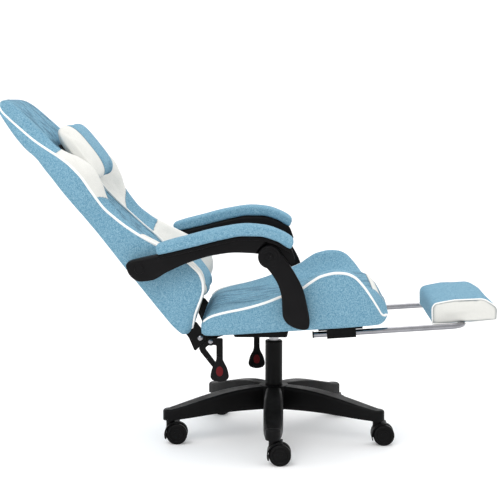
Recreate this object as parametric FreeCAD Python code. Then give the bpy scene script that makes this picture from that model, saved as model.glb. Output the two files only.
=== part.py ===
import FreeCAD, Part
import os
from math import cos, pi, radians, sin, tan

from FreeCAD import Vector

# A reclining gaming chair with linked armrests and a pull-out footrest, in millimetres.
# +X is forward, +Y is the sitter's left and +Z is up. The gas column's axis is X = Y = 0,
# and the floor is Z = 0. The chair is stored leaned back, at its lowest, footrest out.

# ---------------------------------------------------------------- driving dimensions
# Running clearances, on the radius or as a gap
FIT = 0.05
SIDE_GAP = 0.4

# Casters
WHEEL_R = 30.0
WHEEL_WIDTH = 17.0
WHEEL_ROUND = 5.0
AXLE_R = 4.0
WEB_HALF = 6.0
CASTER_TRAIL = 19.0
STEM_R = 5.5
STEM_RISE = 24.0
HOOD_WALL = 3.0
HOOD_NECK_R = 12.0
HOOD_GAP = 2.5
CASTER_NECK = 40.0

# Five-armed base
ARM_COUNT = 5
CASTER_CIRCLE = 310.0
BASE_HUB_R = 44.0
BASE_HUB_DEPTH = 68.0
BASE_HUB_TOP = 82.0
BASE_WALL = 4.0
BASE_BOSS_R = 21.0
BASE_BOSS_TOP = 31.0
# One arm: share of the caster circle, half width, underside and top above the casters
BASE_ARM = (
    (0.08, 20.0, 14.0, 81.0),
    (0.30, 25.0, 15.0, 78.0),
    (0.58, 27.5, 12.0, 64.0),
    (0.82, 26.5, 5.0, 45.0),
    (1.00, 21.0, 1.0, 31.0),
)
BASE_ARM_EDGE = 8.0

# Gas column
TUBE_R = 25.0
TUBE_WALL = 1.8
TUBE_FOOT_R = 23.6
TUBE_FOOT = 16.0
TUBE_SHOWN = 125.0
BUSH_COLLAR = 6.0
BUSH_LENGTH = 64.0
GAS_R = 14.0
GAS_WALL = 2.0
GAS_TOP_R = 13.0
GAS_TAPER = 25.0
GAS_SHOWN = 19.0
GAS_GLAND = 6.0
ROD_R = 5.0
ROD_FOOT_R = 4.0
PISTON_LENGTH = 10.0
BEARING_R = 18.0
BEARING_HEIGHT = 7.0
LIFT_TRAVEL = 80.0
BUTTON_R = 3.0
BUTTON_RISE = 5.0

# Mechanism under the seat
MECH_DEPTH = 42.0
MECH_HALF = 62.0
MECH_WALL = 3.0
MECH_REAR = -150.0
MECH_BOX_REAR = -112.0
MECH_BOX_FRONT = 38.0
MECH_FRONT = 104.0
MECH_FLANGE_HALF = 92.0
MECH_LIP = 6.0
SOCKET_WALL = 5.0
MECH_BOLT_R = 4.0
MECH_BOLT_X = (-132.0, 86.0)
MECH_BOLT_Y = 80.0

# Height lever, on the sitter's left
LIFT_LEVER_X = -54.0
LIFT_LEVER_R = 4.5
LIFT_LEVER_REACH = 226.0
LIFT_PIVOT_Y = 52.0
LIFT_PIVOT_RISE = 10.5
LIFT_PIN_R = 2.5
LIFT_PADDLE_DROP = 14.0
LIFT_PADDLE_NECK = 68.0
PADDLE_LENGTH = 62.0
PADDLE_WIDTH = 52.0
PADDLE_THICK = 9.0
PADDLE_NECK = 10.0

# Seat
SEAT_REAR_X = -196.0
SEAT_TILT = 3.8
SEAT_HALF = 255.0
SEAT_LENGTH = 513.0
SEAT_CENTRE_HALF = 150.0
SEAT_TUBE = 20.0
SEAT_TUBE_DROP = 8.0
SEAT_TUBE_WALL = 2.0
SEAT_SIDE_IN = 180.0
COVER_THICK = 1.5
# Cross-sections: share of the length, share of the half width, underside, piping, crest, centre
SEAT_SECTIONS = (
    (0.000, 0.92, -1.0, 17.0, 18.0, 16.0),
    (0.020, 0.965, -5.0, 27.0, 29.0, 31.0),
    (0.055, 0.988, -6.0, 42.0, 45.0, 49.0),
    (0.117, 1.0, -6.0, 54.0, 58.0, 58.0),
    (0.246, 1.0, -6.0, 64.0, 70.0, 63.0),
    (0.343, 1.0, -6.0, 75.0, 82.0, 67.0),
    (0.429, 1.0, -6.0, 89.0, 96.0, 71.0),
    (0.552, 1.0, -6.0, 110.0, 117.0, 77.0),
    (0.596, 1.0, -6.0, 124.0, 131.0, 79.0),
    (0.655, 1.0, -6.0, 139.0, 146.0, 83.0),
    (0.731, 1.0, -6.0, 145.0, 152.0, 86.0),
    (0.780, 0.996, -6.0, 142.0, 149.0, 88.0),
    (0.825, 0.988, -6.0, 131.0, 138.0, 89.0),
    (0.869, 0.976, -6.0, 105.0, 112.0, 89.0),
    (0.910, 0.961, -6.0, 70.0, 80.0, 86.0),
    (0.943, 0.933, -6.0, 38.0, 50.0, 78.0),
    (0.969, 0.902, -1.0, 16.0, 26.0, 62.0),
    (0.990, 0.820, 8.0, 15.0, 21.0, 44.0),
    (1.000, 0.750, 18.0, 21.0, 24.0, 30.0),
)

# Recliner hinge, from the seat's lower rear edge
HINGE_BACK = 5.4
HINGE_DROP = 17.3
HINGE_R = 6.0
HINGE_PLATE = 4.0
PLATE_SWING_R = 76.0
STOP_FORWARD = 28.6
STOP_DROP = 9.0
STOP_R = 4.0
DOME_R = 8.5
DOME_RISE = 5.0

# Backrest
BACK_LEAN = 38.4
BACK_START = 31.0
BACK_LENGTH = 822.0
BACK_HALF = 262.0
BACK_CENTRE_HALF = 130.0
BACK_TUBE_R = 12.5
BACK_TUBE_OFFSET = -12.0
BACK_TUBE_WALL = 2.0
BACK_FRAME_LOW = 46.0
BACK_FRAME_TOP = 600.0
# Cross-sections: share of the length, share of the half width, rear face, piping, crest, centre
BACK_SECTIONS = (
    (0.0000, 0.800, -24.0, -8.0, -7.0, -11.0),
    (0.0122, 0.860, -31.0, 6.0, 8.0, 2.0),
    (0.0401, 0.900, -34.0, 34.0, 38.0, 22.0),
    (0.0650, 0.920, -35.0, 68.0, 73.0, 33.0),
    (0.0813, 0.931, -35.0, 89.0, 94.0, 38.0),
    (0.1082, 0.935, -35.0, 106.0, 112.0, 40.0),
    (0.1398, 0.939, -35.0, 114.0, 120.0, 40.0),
    (0.1811, 0.939, -35.0, 110.0, 117.0, 40.0),
    (0.2982, 0.939, -35.0, 71.0, 78.0, 34.0),
    (0.3798, 0.920, -35.0, 44.0, 50.0, 22.0),
    (0.4489, 0.910, -35.0, 28.0, 40.0, 13.0),
    (0.5065, 0.931, -35.0, 21.0, 41.0, 6.0),
    (0.5708, 0.977, -35.0, 25.0, 58.0, 0.0),
    (0.6255, 1.000, -35.0, 29.0, 66.0, -2.0),
    (0.6745, 0.985, -35.0, 25.0, 56.0, -2.0),
    (0.7226, 0.916, -38.0, 13.0, 34.0, 4.0),
    (0.7652, 0.810, -42.0, -3.0, 18.0, 10.0),
    (0.8260, 0.710, -54.0, -22.0, 8.0, 8.0),
    (0.8808, 0.656, -57.0, -33.0, 1.0, 2.0),
    (0.9355, 0.603, -56.0, -43.0, -6.0, -6.0),
    (0.9720, 0.550, -54.0, -48.0, -14.0, -13.0),
    (0.9915, 0.500, -48.0, -46.0, -24.0, -23.0),
    (1.0000, 0.440, -42.0, -41.0, -34.0, -33.0),
)

# Pillows: half width, start and end up the back, rear and front at the middle
LUMBAR_HALF = 140.0
LUMBAR_SPAN = (64.0, 258.0)
LUMBAR_DEPTH = (42.0, 104.0)
LUMBAR_END_DEPTH = (62.0, 84.0)
HEADREST_HALF = 142.0
HEADREST_SPAN = (510.0, 700.0)
HEADREST_DEPTH = (16.0, 82.0)
HEADREST_END_DEPTH = (26.0, 62.0)
STRAP_WIDTH = 30.0
STRAP_THICK = 1.8
STRAP_CENTRE = 645.0
STRAP_HALF = 101.0
STRAP_DEPTH = (-45.0, 15.0)
STRAP_SLOT = 2.0

# Linked armrests: knuckle and post foot from the seat's lower rear edge
KNUCKLE = (185.7, 219.7)
POST_FOOT = (260.4, 52.8)
REAR_PIVOT_UP = 256.7
REAR_PIVOT_OUT = 3.2
ARM_ROOT_WIDTH = 0.939
ARM_IN_GAP = 3.0
ARM_WEB = 22.0
ARM_BODY = 38.0
ARM_LIP = 44.0
ARM_LIP_THICK = 12.0
KNUCKLE_R = 31.0
POST_THICK = 18.0
ARM_PIN_R = 6.0
REAR_STUD_R = 7.0
REAR_STUD_CLEAR = 6.5
REAR_STUD_REACH = 16.0
PAD_HALF = 35.0
PAD_CENTRE_OUT = 32.0
PAD_ROUND = 9.0

# Footrest
RAIL_TUBE_R = 8.0
RAIL_TUBE_WALL = 1.5
RAIL_Y = 187.0
RAIL_DROP = 30.5
RAIL_REAR = 306.0
RAIL_FRONT = 722.0
RAIL_BEND = 40.0
RAIL_BLOCK = (342.0, 422.0)
RAIL_FLANGE = (319.0, 441.0)
RAIL_BLOCK_HALF = 13.0
RAIL_BLOCK_BOTTOM = 42.0
FOOT_BOARD = (634.0, 815.0)
FOOT_BOARD_THICK = 9.0
FOOT_HALF = 171.0
FOOT_PAD_THICK = 42.0
CLIP_Y = 95.0
CLIP_WIDTH = 22.0
CLIP_WALL = 3.0

# ---------------------------------------------------------------- places worked out from them
BASE_Z = WHEEL_R + CASTER_NECK
HUB_TOP = BASE_Z + BASE_HUB_TOP
TUBE_TOP = HUB_TOP + TUBE_SHOWN
COLLAR_TOP = TUBE_TOP + BUSH_COLLAR
MECH_BOTTOM = COLLAR_TOP + GAS_SHOWN
SEAT_REAR_Z = MECH_BOTTOM + MECH_DEPTH
TUBE_FLOOR = HUB_TOP - BASE_HUB_DEPTH - TUBE_FOOT
TILT = radians(SEAT_TILT)
LEAN = radians(BACK_LEAN)
HINGE_X = SEAT_REAR_X - HINGE_BACK
HINGE_Z = SEAT_REAR_Z - HINGE_DROP
KNUCKLE_X = SEAT_REAR_X + KNUCKLE[0]
KNUCKLE_Z = SEAT_REAR_Z + KNUCKLE[1]
FOOT_X = SEAT_REAR_X + POST_FOOT[0]
FOOT_Z = SEAT_REAR_Z + POST_FOOT[1]
ARM_IN = SEAT_HALF + ARM_IN_GAP
POST_IN = ARM_IN + ARM_WEB + SIDE_GAP
POST_OUT = POST_IN + POST_THICK
SEAT_PLATE_IN = SEAT_SIDE_IN + SEAT_TUBE
BACK_PLATE_IN = SEAT_PLATE_IN + HINGE_PLATE + SIDE_GAP
LEVER_IN = BACK_PLATE_IN + HINGE_PLATE + SIDE_GAP
BACK_TUBE_Y = BACK_PLATE_IN - BACK_TUBE_R
BACK_SIDE = BACK_HALF * ARM_ROOT_WIDTH
GAS_BOTTOM = TUBE_FLOOR + MECH_WALL + BEARING_HEIGHT + MECH_WALL + SIDE_GAP * 5
GAS_TOP = MECH_BOTTOM + GAS_TAPER
PLATE_TOP = -SEAT_TUBE_DROP - COVER_THICK
Y_AXIS = Vector(0, 1, 0)
Z_AXIS = Vector(0, 0, 1)


# ---------------------------------------------------------------- helpers
def on_seat(along, y, up):
    """A point in the seat's tilted frame: along its underside from the rear edge, and up from it."""
    x = SEAT_REAR_X + along * cos(TILT) - up * sin(TILT)
    return Vector(x, y, SEAT_REAR_Z + along * sin(TILT) + up * cos(TILT))


def on_back(up, y, out):
    """A point in the backrest's frame: up the back from the hinge, and out of its front."""
    x = HINGE_X - up * sin(LEAN) + out * cos(LEAN)
    return Vector(x, y, HINGE_Z + up * cos(LEAN) + out * sin(LEAN))


def by_knuckle(x, z):
    """A side-view point measured from the armrest's knuckle."""
    return Vector(KNUCKLE_X + x, 0, KNUCKLE_Z + z)


def flat_xz(x, z):
    """A side-view point in the chair's own frame."""
    return Vector(x, 0, z)


def round_wire(corners, put):
    """A closed wire through corners (a, b, r), each rounded by a tangent arc of radius r."""
    turns = []
    for i, (a, b, r) in enumerate(corners):
        here = Vector(a, b, 0)
        back = (Vector(*corners[i - 1][:2], 0) - here).normalize()
        ahead = (Vector(*corners[(i + 1) % len(corners)][:2], 0) - here).normalize()
        half = back.getAngle(ahead) / 2
        middle = here + (back + ahead).normalize() * (r / sin(half) - r)
        turns.append((here + back * (r / tan(half)), middle, here + ahead * (r / tan(half))))
    edges = []
    for i, (start, middle, end) in enumerate(turns):
        if corners[i][2] > 0:
            edges.append(Part.Arc(*[put(p.x, p.y) for p in (start, middle, end)]).toShape())
        after = turns[(i + 1) % len(turns)][0]
        if (after - end).Length > 1e-6:
            edges.append(Part.LineSegment(put(end.x, end.y), put(after.x, after.y)).toShape())
    return Part.Wire(edges)


def curve(points):
    """A smooth edge through the points."""
    line = Part.BSplineCurve()
    line.interpolate(points)
    return line.toShape()


def segment(start, end):
    return Part.LineSegment(start, end).toShape()


def across(wire, inner, outer):
    """The side-view wire filled in, and made solid from inner to outer along +Y."""
    solid = Part.Face(wire).extrude(Vector(0, outer - inner, 0))
    solid.translate(Vector(0, inner, 0))
    return solid


def plate(corners, inner, outer, put=flat_xz):
    return across(round_wire(corners, put), inner, outer)


def rod(start, end, radius):
    return Part.makeCylinder(radius, (end - start).Length, start, end - start)


def cross_rod(x, z, inner, outer, radius):
    return rod(Vector(x, inner, z), Vector(x, outer, z), radius)


def bar_on_seat(along, y, up):
    """A straight bar in the seat's frame, between pairs (low, high) of its three sizes."""
    corners = [(along[0], up[0], 0), (along[1], up[0], 0), (along[1], up[1], 0), (along[0], up[1], 0)]
    return across(round_wire(corners, lambda a, u: on_seat(a, 0, u)), y[0], y[1])


def other_side(shape):
    """The same piece on the chair's other side."""
    return shape.mirror(Vector(0, 0, 0), Y_AXIS)


def both_sides(shape):
    return Part.makeCompound([shape, other_side(shape)])


def fuse(shapes):
    whole = shapes[0]
    for shape in shapes[1:]:
        whole = whole.fuse(shape)
    return whole.removeSplitter()


def trough(sections, length, start, half, centre_half, put):
    """A cushion with raised sides, lofted through its cross-sections."""
    wires = []
    for share, wide, under, piping, crest, centre in sections:
        edge = half * wide
        inner = min(centre_half, edge * 0.8)
        side = [
            (inner, centre),
            (inner + 0.6 * (edge - inner), crest),
            (edge - 0.04 * half, piping),
            (edge, under + 0.75 * (piping - under)),
            (edge, under + 0.25 * (piping - under)),
            (edge - 0.04 * half, under),
        ]
        loop = side + [(-y, level) for y, level in reversed(side)]
        points = [put(start + share * length, y, level) for y, level in loop]
        wires.append(Part.makePolygon(points + points[:1]))
    return Part.makeLoft(wires, True, True)


def pillow(half, span, depth, end_depth):
    """A pillow across the back: rounded sections that shrink towards both ends."""
    wires = []
    for place, size in ((-1.0, 0.0), (-0.85, 0.62), (-0.5, 1.0), (0.5, 1.0), (0.85, 0.62), (1.0, 0.0)):
        rear = end_depth[0] + size * (depth[0] - end_depth[0])
        front = end_depth[1] + size * (depth[1] - end_depth[1])
        draw = (1 - size) * 16.0
        low = span[0] + draw
        high = span[1] - draw
        soft = 0.42 * (front - rear)
        corners = [(low, rear, soft), (high, rear, soft), (high, front, soft), (low, front, soft)]
        wires.append(round_wire(corners, lambda s, n, y=place * half: on_back(s, y, n)))
    return Part.makeLoft(wires, True, True)


# ---------------------------------------------------------------- base and casters
def arm_section(share, half, under, top, grow=0.0):
    """One cross-section of a base arm, square to the arm, made smaller by a negative grow."""
    edge = BASE_ARM_EDGE + grow
    low = BASE_Z + under
    high = BASE_Z + top + grow
    wide = half + grow
    corners = [(-wide, low, 1.5), (wide, low, 1.5), (wide, high, edge), (-wide, high, edge)]
    radius = share * CASTER_CIRCLE
    return round_wire(corners, lambda a, b: Vector(radius, a, b))


def between(first, second, part):
    return tuple(a + (b - a) * part for a, b in zip(first, second))


def star_base():
    """Moulded five-armed base: ribbed arms open underneath, a hub and five caster sockets."""
    arm = Part.makeLoft([arm_section(*s) for s in BASE_ARM], True, False)
    tip = Vector(CASTER_CIRCLE, 0, BASE_Z)
    boss = Part.makeCylinder(BASE_BOSS_R, BASE_BOSS_TOP, tip)
    boss = boss.makeFillet(BASE_ARM_EDGE, [boss.Edges[0]])
    arm = arm.fuse(boss)
    # The hollow underside is three pockets, with a rib between each two
    for first, second in zip(BASE_ARM[:3], BASE_ARM[1:4]):
        near = between(first, second, 0.12 if first[0] > 0.1 else 0.55)
        far = between(first, second, 0.95)
        walls = [arm_section(s[0], s[1], s[2] - 40.0, s[3], -BASE_WALL) for s in (near, far)]
        arm = arm.cut(Part.makeLoft(walls, True, True))
    low = HUB_TOP - BASE_HUB_DEPTH
    hub = Part.makeCylinder(BASE_HUB_R, BASE_HUB_DEPTH, Vector(0, 0, low))
    hub = hub.makeChamfer(3.0, [hub.Edges[0]])
    arms = [arm.rotated(Vector(0, 0, 0), Z_AXIS, a) for a in arm_angles()]
    base = fuse([hub] + arms)
    base = base.cut(column_outline())
    for x, y in caster_places():
        socket = Part.makeCylinder(STEM_R + FIT, STEM_RISE + 1.0, Vector(x, y, BASE_Z - 1.0))
        base = base.cut(socket)
    return base


def arm_angles():
    return [-90.0 + 360.0 * k / ARM_COUNT for k in range(ARM_COUNT)]


def caster_places():
    return [
        (CASTER_CIRCLE * cos(radians(a)), CASTER_CIRCLE * sin(radians(a))) for a in arm_angles()
    ]


def caster_hood(x, y):
    """Caster body: a web between the wheels, a neck round the stem and a guard over the wheels."""
    wheel_x = x + CASTER_TRAIL
    reach = WEB_HALF + WHEEL_WIDTH
    web = cross_rod(wheel_x, WHEEL_R, y - WEB_HALF + 0.5, y + WEB_HALF - 0.5, WHEEL_R * 0.86)
    neck_low = Vector(x, y, WHEEL_R * 0.7)
    neck = Part.makeCylinder(HOOD_NECK_R, BASE_Z - SIDE_GAP - neck_low.z, neck_low)
    shell_r = WHEEL_R + HOOD_GAP
    shell = cross_rod(wheel_x, WHEEL_R, y - reach, y + reach, shell_r + HOOD_WALL)
    shell = shell.cut(cross_rod(wheel_x, WHEEL_R, y - reach - 1, y + reach + 1, shell_r))
    cover = [
        (x - 2 * HOOD_NECK_R, WHEEL_R * 0.55, 0),
        (wheel_x - WHEEL_R * 0.6, WHEEL_R * 0.55, 0),
        (wheel_x + WHEEL_R * 0.35, BASE_Z, 0),
        (x - 2 * HOOD_NECK_R, BASE_Z, 0),
    ]
    shell = shell.common(plate(cover, y - reach, y + reach))
    wheels = cross_rod(wheel_x, WHEEL_R, y - reach - 1, y - WEB_HALF + 0.5, shell_r)
    wheels = wheels.fuse(cross_rod(wheel_x, WHEEL_R, y + WEB_HALF - 0.5, y + reach + 1, shell_r))
    hood = fuse([web, neck, shell]).cut(wheels)
    return hood.cut(caster_pins(x, y))


def caster_pins(x, y):
    """The two steel pins in a caster: the stem that stands in the base, and the wheels' axle."""
    stem = rod(Vector(x, y, WHEEL_R + AXLE_R + 8.0), Vector(x, y, BASE_Z + STEM_RISE - 1.0), STEM_R)
    reach = WEB_HALF + WHEEL_WIDTH - 3.0
    axle = cross_rod(x + CASTER_TRAIL, WHEEL_R, y - reach, y + reach, AXLE_R)
    return Part.makeCompound([stem, axle])


def caster_wheels(x, y):
    """The two wheels of a caster, rounded at the tread, dished outside and bored for the axle."""
    inner = WEB_HALF
    outer = WEB_HALF + WHEEL_WIDTH
    centre_x = x + CASTER_TRAIL
    wheel = Part.makeCylinder(WHEEL_R, WHEEL_WIDTH, Vector(0, inner, 0), Y_AXIS)
    wheel = wheel.makeFillet(WHEEL_ROUND, [e for e in wheel.Edges if e.Length > WHEEL_R * 3])
    dish = Part.makeCone(WHEEL_R * 0.62, WHEEL_R * 0.70, 2.5, Vector(0, outer - 2.5, 0), Y_AXIS)
    wheel = wheel.cut(dish)
    wheel = wheel.fuse(cross_rod(0, 0, inner + 1.0, outer - 1.0, WHEEL_R * 0.28))
    bore = cross_rod(0, 0, inner - 1.0, outer - 3.0 + FIT * 4, AXLE_R + FIT)
    wheel = wheel.cut(bore)
    pair = both_sides(wheel)
    pair.translate(Vector(centre_x, y, WHEEL_R))
    return pair


# ---------------------------------------------------------------- gas column
def column_outline():
    """The outside of the column tube: straight, with a slow taper where it wedges in the hub."""
    taper_low = HUB_TOP - BASE_HUB_DEPTH
    foot = Part.makeCylinder(TUBE_FOOT_R, taper_low - TUBE_FLOOR, Vector(0, 0, TUBE_FLOOR))
    wedge = Part.makeCone(TUBE_FOOT_R, TUBE_R, BASE_HUB_DEPTH, Vector(0, 0, taper_low))
    upper = Part.makeCylinder(TUBE_R, TUBE_TOP - HUB_TOP, Vector(0, 0, HUB_TOP))
    return fuse([foot, wedge, upper])


def column_tube():
    inside = TUBE_FOOT_R - TUBE_WALL
    hollow = Part.makeCylinder(inside, TUBE_TOP - TUBE_FLOOR, Vector(0, 0, TUBE_FLOOR + MECH_WALL))
    hole = rod(Vector(0, 0, TUBE_FLOOR - 1), Vector(0, 0, TUBE_FLOOR + 9), ROD_FOOT_R + FIT)
    return column_outline().cut(hollow).cut(hole)


def guide_bush():
    """Plastic bush that guides the gas spring, with a notched collar on the tube's mouth."""
    inside = TUBE_FOOT_R - TUBE_WALL
    collar = Part.makeCylinder(TUBE_R, BUSH_COLLAR, Vector(0, 0, TUBE_TOP))
    collar = collar.makeFillet(3.5, [collar.Edges[0]])
    for k in range(12):
        notch = Part.makeBox(3.0, 2.0, BUSH_COLLAR, Vector(TUBE_R - 1.2, -1.0, TUBE_TOP))
        collar = collar.cut(notch.rotated(Vector(0, 0, 0), Z_AXIS, 30.0 * k))
    sleeve = Part.makeCylinder(inside, BUSH_LENGTH, Vector(0, 0, TUBE_TOP - BUSH_LENGTH))
    bore = rod(Vector(0, 0, 0), Vector(0, 0, COLLAR_TOP + 1), GAS_R + FIT)
    return collar.fuse(sleeve).removeSplitter().cut(bore)


def thrust_bearing():
    low = TUBE_FLOOR + MECH_WALL
    body = Part.makeCylinder(BEARING_R, BEARING_HEIGHT, Vector(0, 0, low))
    groove = Part.makeTorus(BEARING_R, 1.4, Vector(0, 0, low + BEARING_HEIGHT / 2))
    return body.cut(groove).cut(rod(Vector(0, 0, 0), Vector(0, 0, low + 20), ROD_FOOT_R + FIT))


def piston_rod():
    """The rod that turns on the bearing, with its piston inside the gas cylinder."""
    seat = TUBE_FLOOR + MECH_WALL + BEARING_HEIGHT
    foot = rod(Vector(0, 0, TUBE_FLOOR - 4), Vector(0, 0, seat), ROD_FOOT_R)
    shoulder = rod(Vector(0, 0, seat), Vector(0, 0, seat + MECH_WALL), ROD_R * 2)
    top = GAS_TOP - GAS_TAPER - PISTON_LENGTH - 10.0
    shaft = rod(Vector(0, 0, seat), Vector(0, 0, top), ROD_R)
    piston = rod(Vector(0, 0, top - PISTON_LENGTH), Vector(0, 0, top), GAS_R - GAS_WALL - FIT)
    clip = rod(Vector(0, 0, TUBE_FLOOR - 2.5), Vector(0, 0, TUBE_FLOOR - 1.0), ROD_FOOT_R + 3)
    return fuse([foot, shoulder, shaft, piston, clip])


def gas_outline():
    straight = rod(Vector(0, 0, GAS_BOTTOM), Vector(0, 0, MECH_BOTTOM), GAS_R)
    return straight.fuse(Part.makeCone(GAS_R, GAS_TOP_R, GAS_TAPER, Vector(0, 0, MECH_BOTTOM)))


def gas_cylinder():
    ceiling = MECH_BOTTOM - 6.0
    hollow = rod(Vector(0, 0, GAS_BOTTOM + GAS_GLAND), Vector(0, 0, ceiling), GAS_R - GAS_WALL)
    gland = rod(Vector(0, 0, GAS_BOTTOM - 1), Vector(0, 0, GAS_BOTTOM + GAS_GLAND), ROD_R + FIT)
    valve = rod(Vector(0, 0, ceiling - 1), Vector(0, 0, GAS_TOP + 1), BUTTON_R + FIT)
    return gas_outline().cut(fuse([hollow, gland, valve]))


def valve_button():
    low = GAS_TOP - GAS_TAPER + 3.0
    button = Part.makeCylinder(BUTTON_R, GAS_TOP + BUTTON_RISE - low, Vector(0, 0, low))
    return button.makeChamfer(0.6, [button.Edges[0]])


# ---------------------------------------------------------------- mechanism and height lever
def seat_line(x, up):
    """The height of the plane that lies up above the seat's underside, at this x."""
    return SEAT_REAR_Z + (x - SEAT_REAR_X) * tan(TILT) + up / cos(TILT)


def mechanism_plate():
    """Pressed-steel seat plate: a flange under the seat, a box, a column socket, lever ears."""
    under = PLATE_TOP
    front = MECH_BOX_FRONT + 9.0
    rear = MECH_BOX_REAR - 14.0
    outer = [
        (rear, seat_line(rear, under), 0),
        (rear, seat_line(rear, under) - MECH_LIP, 3.0),
        (MECH_BOX_REAR, MECH_BOTTOM, 6.0),
        (MECH_BOX_FRONT, MECH_BOTTOM, 6.0),
        (front, seat_line(front, under) - MECH_LIP, 3.0),
        (front, seat_line(front, under), 0),
    ]
    box = plate(outer, -MECH_HALF, MECH_HALF)
    low = MECH_BOTTOM + MECH_WALL
    inner = [
        (MECH_BOX_REAR - 8.0, seat_line(MECH_BOX_REAR - 8.0, under) + 1, 0),
        (MECH_BOX_REAR + 2.0, low, 3.0),
        (MECH_BOX_FRONT - 2.0, low, 3.0),
        (front - 5.0, seat_line(front - 5.0, under) + 1, 0),
    ]
    box = box.cut(plate(inner, MECH_WALL - MECH_HALF, MECH_HALF - MECH_WALL))
    along = [(x - SEAT_REAR_X) / cos(TILT) for x in (MECH_REAR, MECH_FRONT)]
    top = bar_on_seat(along, (-MECH_FLANGE_HALF, MECH_FLANGE_HALF), (under - MECH_WALL, under))
    socket = rod(Vector(0, 0, MECH_BOTTOM), Vector(0, 0, GAS_TOP - 4.0), GAS_R + SOCKET_WALL)
    ears = []
    for x in (LIFT_LEVER_X - 10.0, LIFT_LEVER_X + 7.0):
        size = Vector(x, LIFT_PIVOT_Y - 6.0, MECH_BOTTOM + 1.0)
        ears.append(Part.makeBox(3.0, MECH_HALF - LIFT_PIVOT_Y + 5.0, LIFT_PIVOT_RISE + 7.0, size))
    body = fuse([box, top, socket] + ears)
    slot = Part.makeBox(16.0, 8.0, 30.0, Vector(LIFT_LEVER_X - 8.0, MECH_HALF - 4.0, low))
    body = body.cut(slot).cut(lift_pin(1.0)).cut(gas_outline())
    for x in MECH_BOLT_X:
        for y in (-MECH_BOLT_Y, MECH_BOLT_Y):
            body = body.cut(rod(seat_bolt_point(x, y, -30), seat_bolt_point(x, y, 0), MECH_BOLT_R))
    return body


def seat_bolt_point(x, y, up):
    return on_seat((x - SEAT_REAR_X) / cos(TILT), y, up)


def mechanism_bolts():
    """Four hexagon bolts that hold the plate to the seat frame's cross members."""
    bolts = []
    under = PLATE_TOP - MECH_WALL
    for x in MECH_BOLT_X:
        for y in (-MECH_BOLT_Y, MECH_BOLT_Y):
            corner = [
                seat_bolt_point(x + 8.0 * cos(k * pi / 3), y + 8.0 * sin(k * pi / 3), under - 6.0)
                for k in range(6)
            ]
            up = seat_bolt_point(x, y, under) - seat_bolt_point(x, y, under - 6.0)
            head = Part.Face(Part.makePolygon(corner + corner[:1])).extrude(up)
            end = seat_bolt_point(x, y, SEAT_TUBE - SEAT_TUBE_DROP - 4.0)
            bolts.append(head.fuse(rod(seat_bolt_point(x, y, under - 1), end, MECH_BOLT_R)))
    return Part.makeCompound(bolts)


def lift_pivot():
    return Vector(LIFT_LEVER_X, LIFT_PIVOT_Y, MECH_BOTTOM + LIFT_PIVOT_RISE)


def lift_pin(extra=0.0):
    pivot = lift_pivot()
    reach = Vector(10.0 + extra, 0, 0)
    return rod(pivot - reach, pivot + reach, LIFT_PIN_R)


def height_lever_rod():
    """Bent steel lever: a flat tongue over the valve button, the pivot eye and the outer arm."""
    pivot = lift_pivot()
    tongue_z = GAS_TOP + BUTTON_RISE + 0.4
    tongue = Part.makeBox(-LIFT_LEVER_X + 11.0, 16.0, 4.0, Vector(LIFT_LEVER_X - 4.5, -6.0, tongue_z))
    knee = Vector(LIFT_LEVER_X, 6.0, tongue_z + 2.0)
    inner = rod(knee, pivot, LIFT_LEVER_R)
    end = lever_end()
    outer = rod(pivot, end, LIFT_LEVER_R)
    eye = rod(pivot - Vector(6.6, 0, 0), pivot + Vector(6.6, 0, 0), LIFT_LEVER_R + 2.0)
    drop = rod(end, end - Z_AXIS * 50.0, LIFT_LEVER_R)
    balls = [Part.makeSphere(LIFT_LEVER_R + 0.5, p) for p in (knee, end)]
    body = fuse([tongue, inner, eye, outer, drop] + balls)
    return body.cut(rod(pivot - Vector(9, 0, 0), pivot + Vector(9, 0, 0), LIFT_PIN_R + FIT))


def lever_end():
    return Vector(LIFT_LEVER_X, LIFT_LEVER_REACH, MECH_BOTTOM - 8.0)


def paddle(x, y, top, neck):
    """Spoon-shaped grip that hangs from a lever: a flat neck, then a wide rounded end."""
    half = PADDLE_WIDTH / 2
    width = (-PADDLE_NECK, PADDLE_NECK, PADDLE_NECK, half, half - 4.0, -half + 4.0, -half, -PADDLE_NECK)
    low = neck + PADDLE_LENGTH
    drop = (0.0, 0.0, neck, neck + 26.0, low, low, neck + 26.0, neck)
    soft = (3.0, 3.0, 5.0, 12.0, 12.0, 12.0, 12.0, 5.0)
    corners = [(x + w, top - d, r) for w, d, r in zip(width, drop, soft)]
    return plate(corners, y - PADDLE_THICK / 2, y + PADDLE_THICK / 2)


def height_lever_paddle():
    end = lever_end()
    grip = paddle(end.x, end.y, end.z - LIFT_PADDLE_DROP, LIFT_PADDLE_NECK)
    sleeve = rod(end - Z_AXIS * (LIFT_PADDLE_DROP - 2.0), end - Z_AXIS * 60.0, LIFT_LEVER_R + 3.0)
    return grip.fuse(sleeve).removeSplitter().cut(height_lever_rod())


# ---------------------------------------------------------------- seat
def square_tubes(trim):
    """The seat frame's two sides and four cross members, made thinner by trim on every side."""
    up = (trim - SEAT_TUBE_DROP, SEAT_TUBE - SEAT_TUBE_DROP - trim)
    side = (SEAT_SIDE_IN + trim, SEAT_SIDE_IN + SEAT_TUBE - trim)
    last = SEAT_LENGTH - 43.0
    bars = []
    for y in (side, (-side[1], -side[0])):
        bars.append(bar_on_seat((12.0 - trim, last + trim), y, up))
    bolts = [(x - SEAT_REAR_X) / cos(TILT) for x in MECH_BOLT_X]
    half = SEAT_TUBE / 2 - trim
    for middle in (12.0 + SEAT_TUBE / 2, bolts[0], bolts[1], last - SEAT_TUBE / 2):
        bars.append(bar_on_seat((middle - half, middle + half), (-side[0] - 1, side[0] + 1), up))
    return bars


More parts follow.
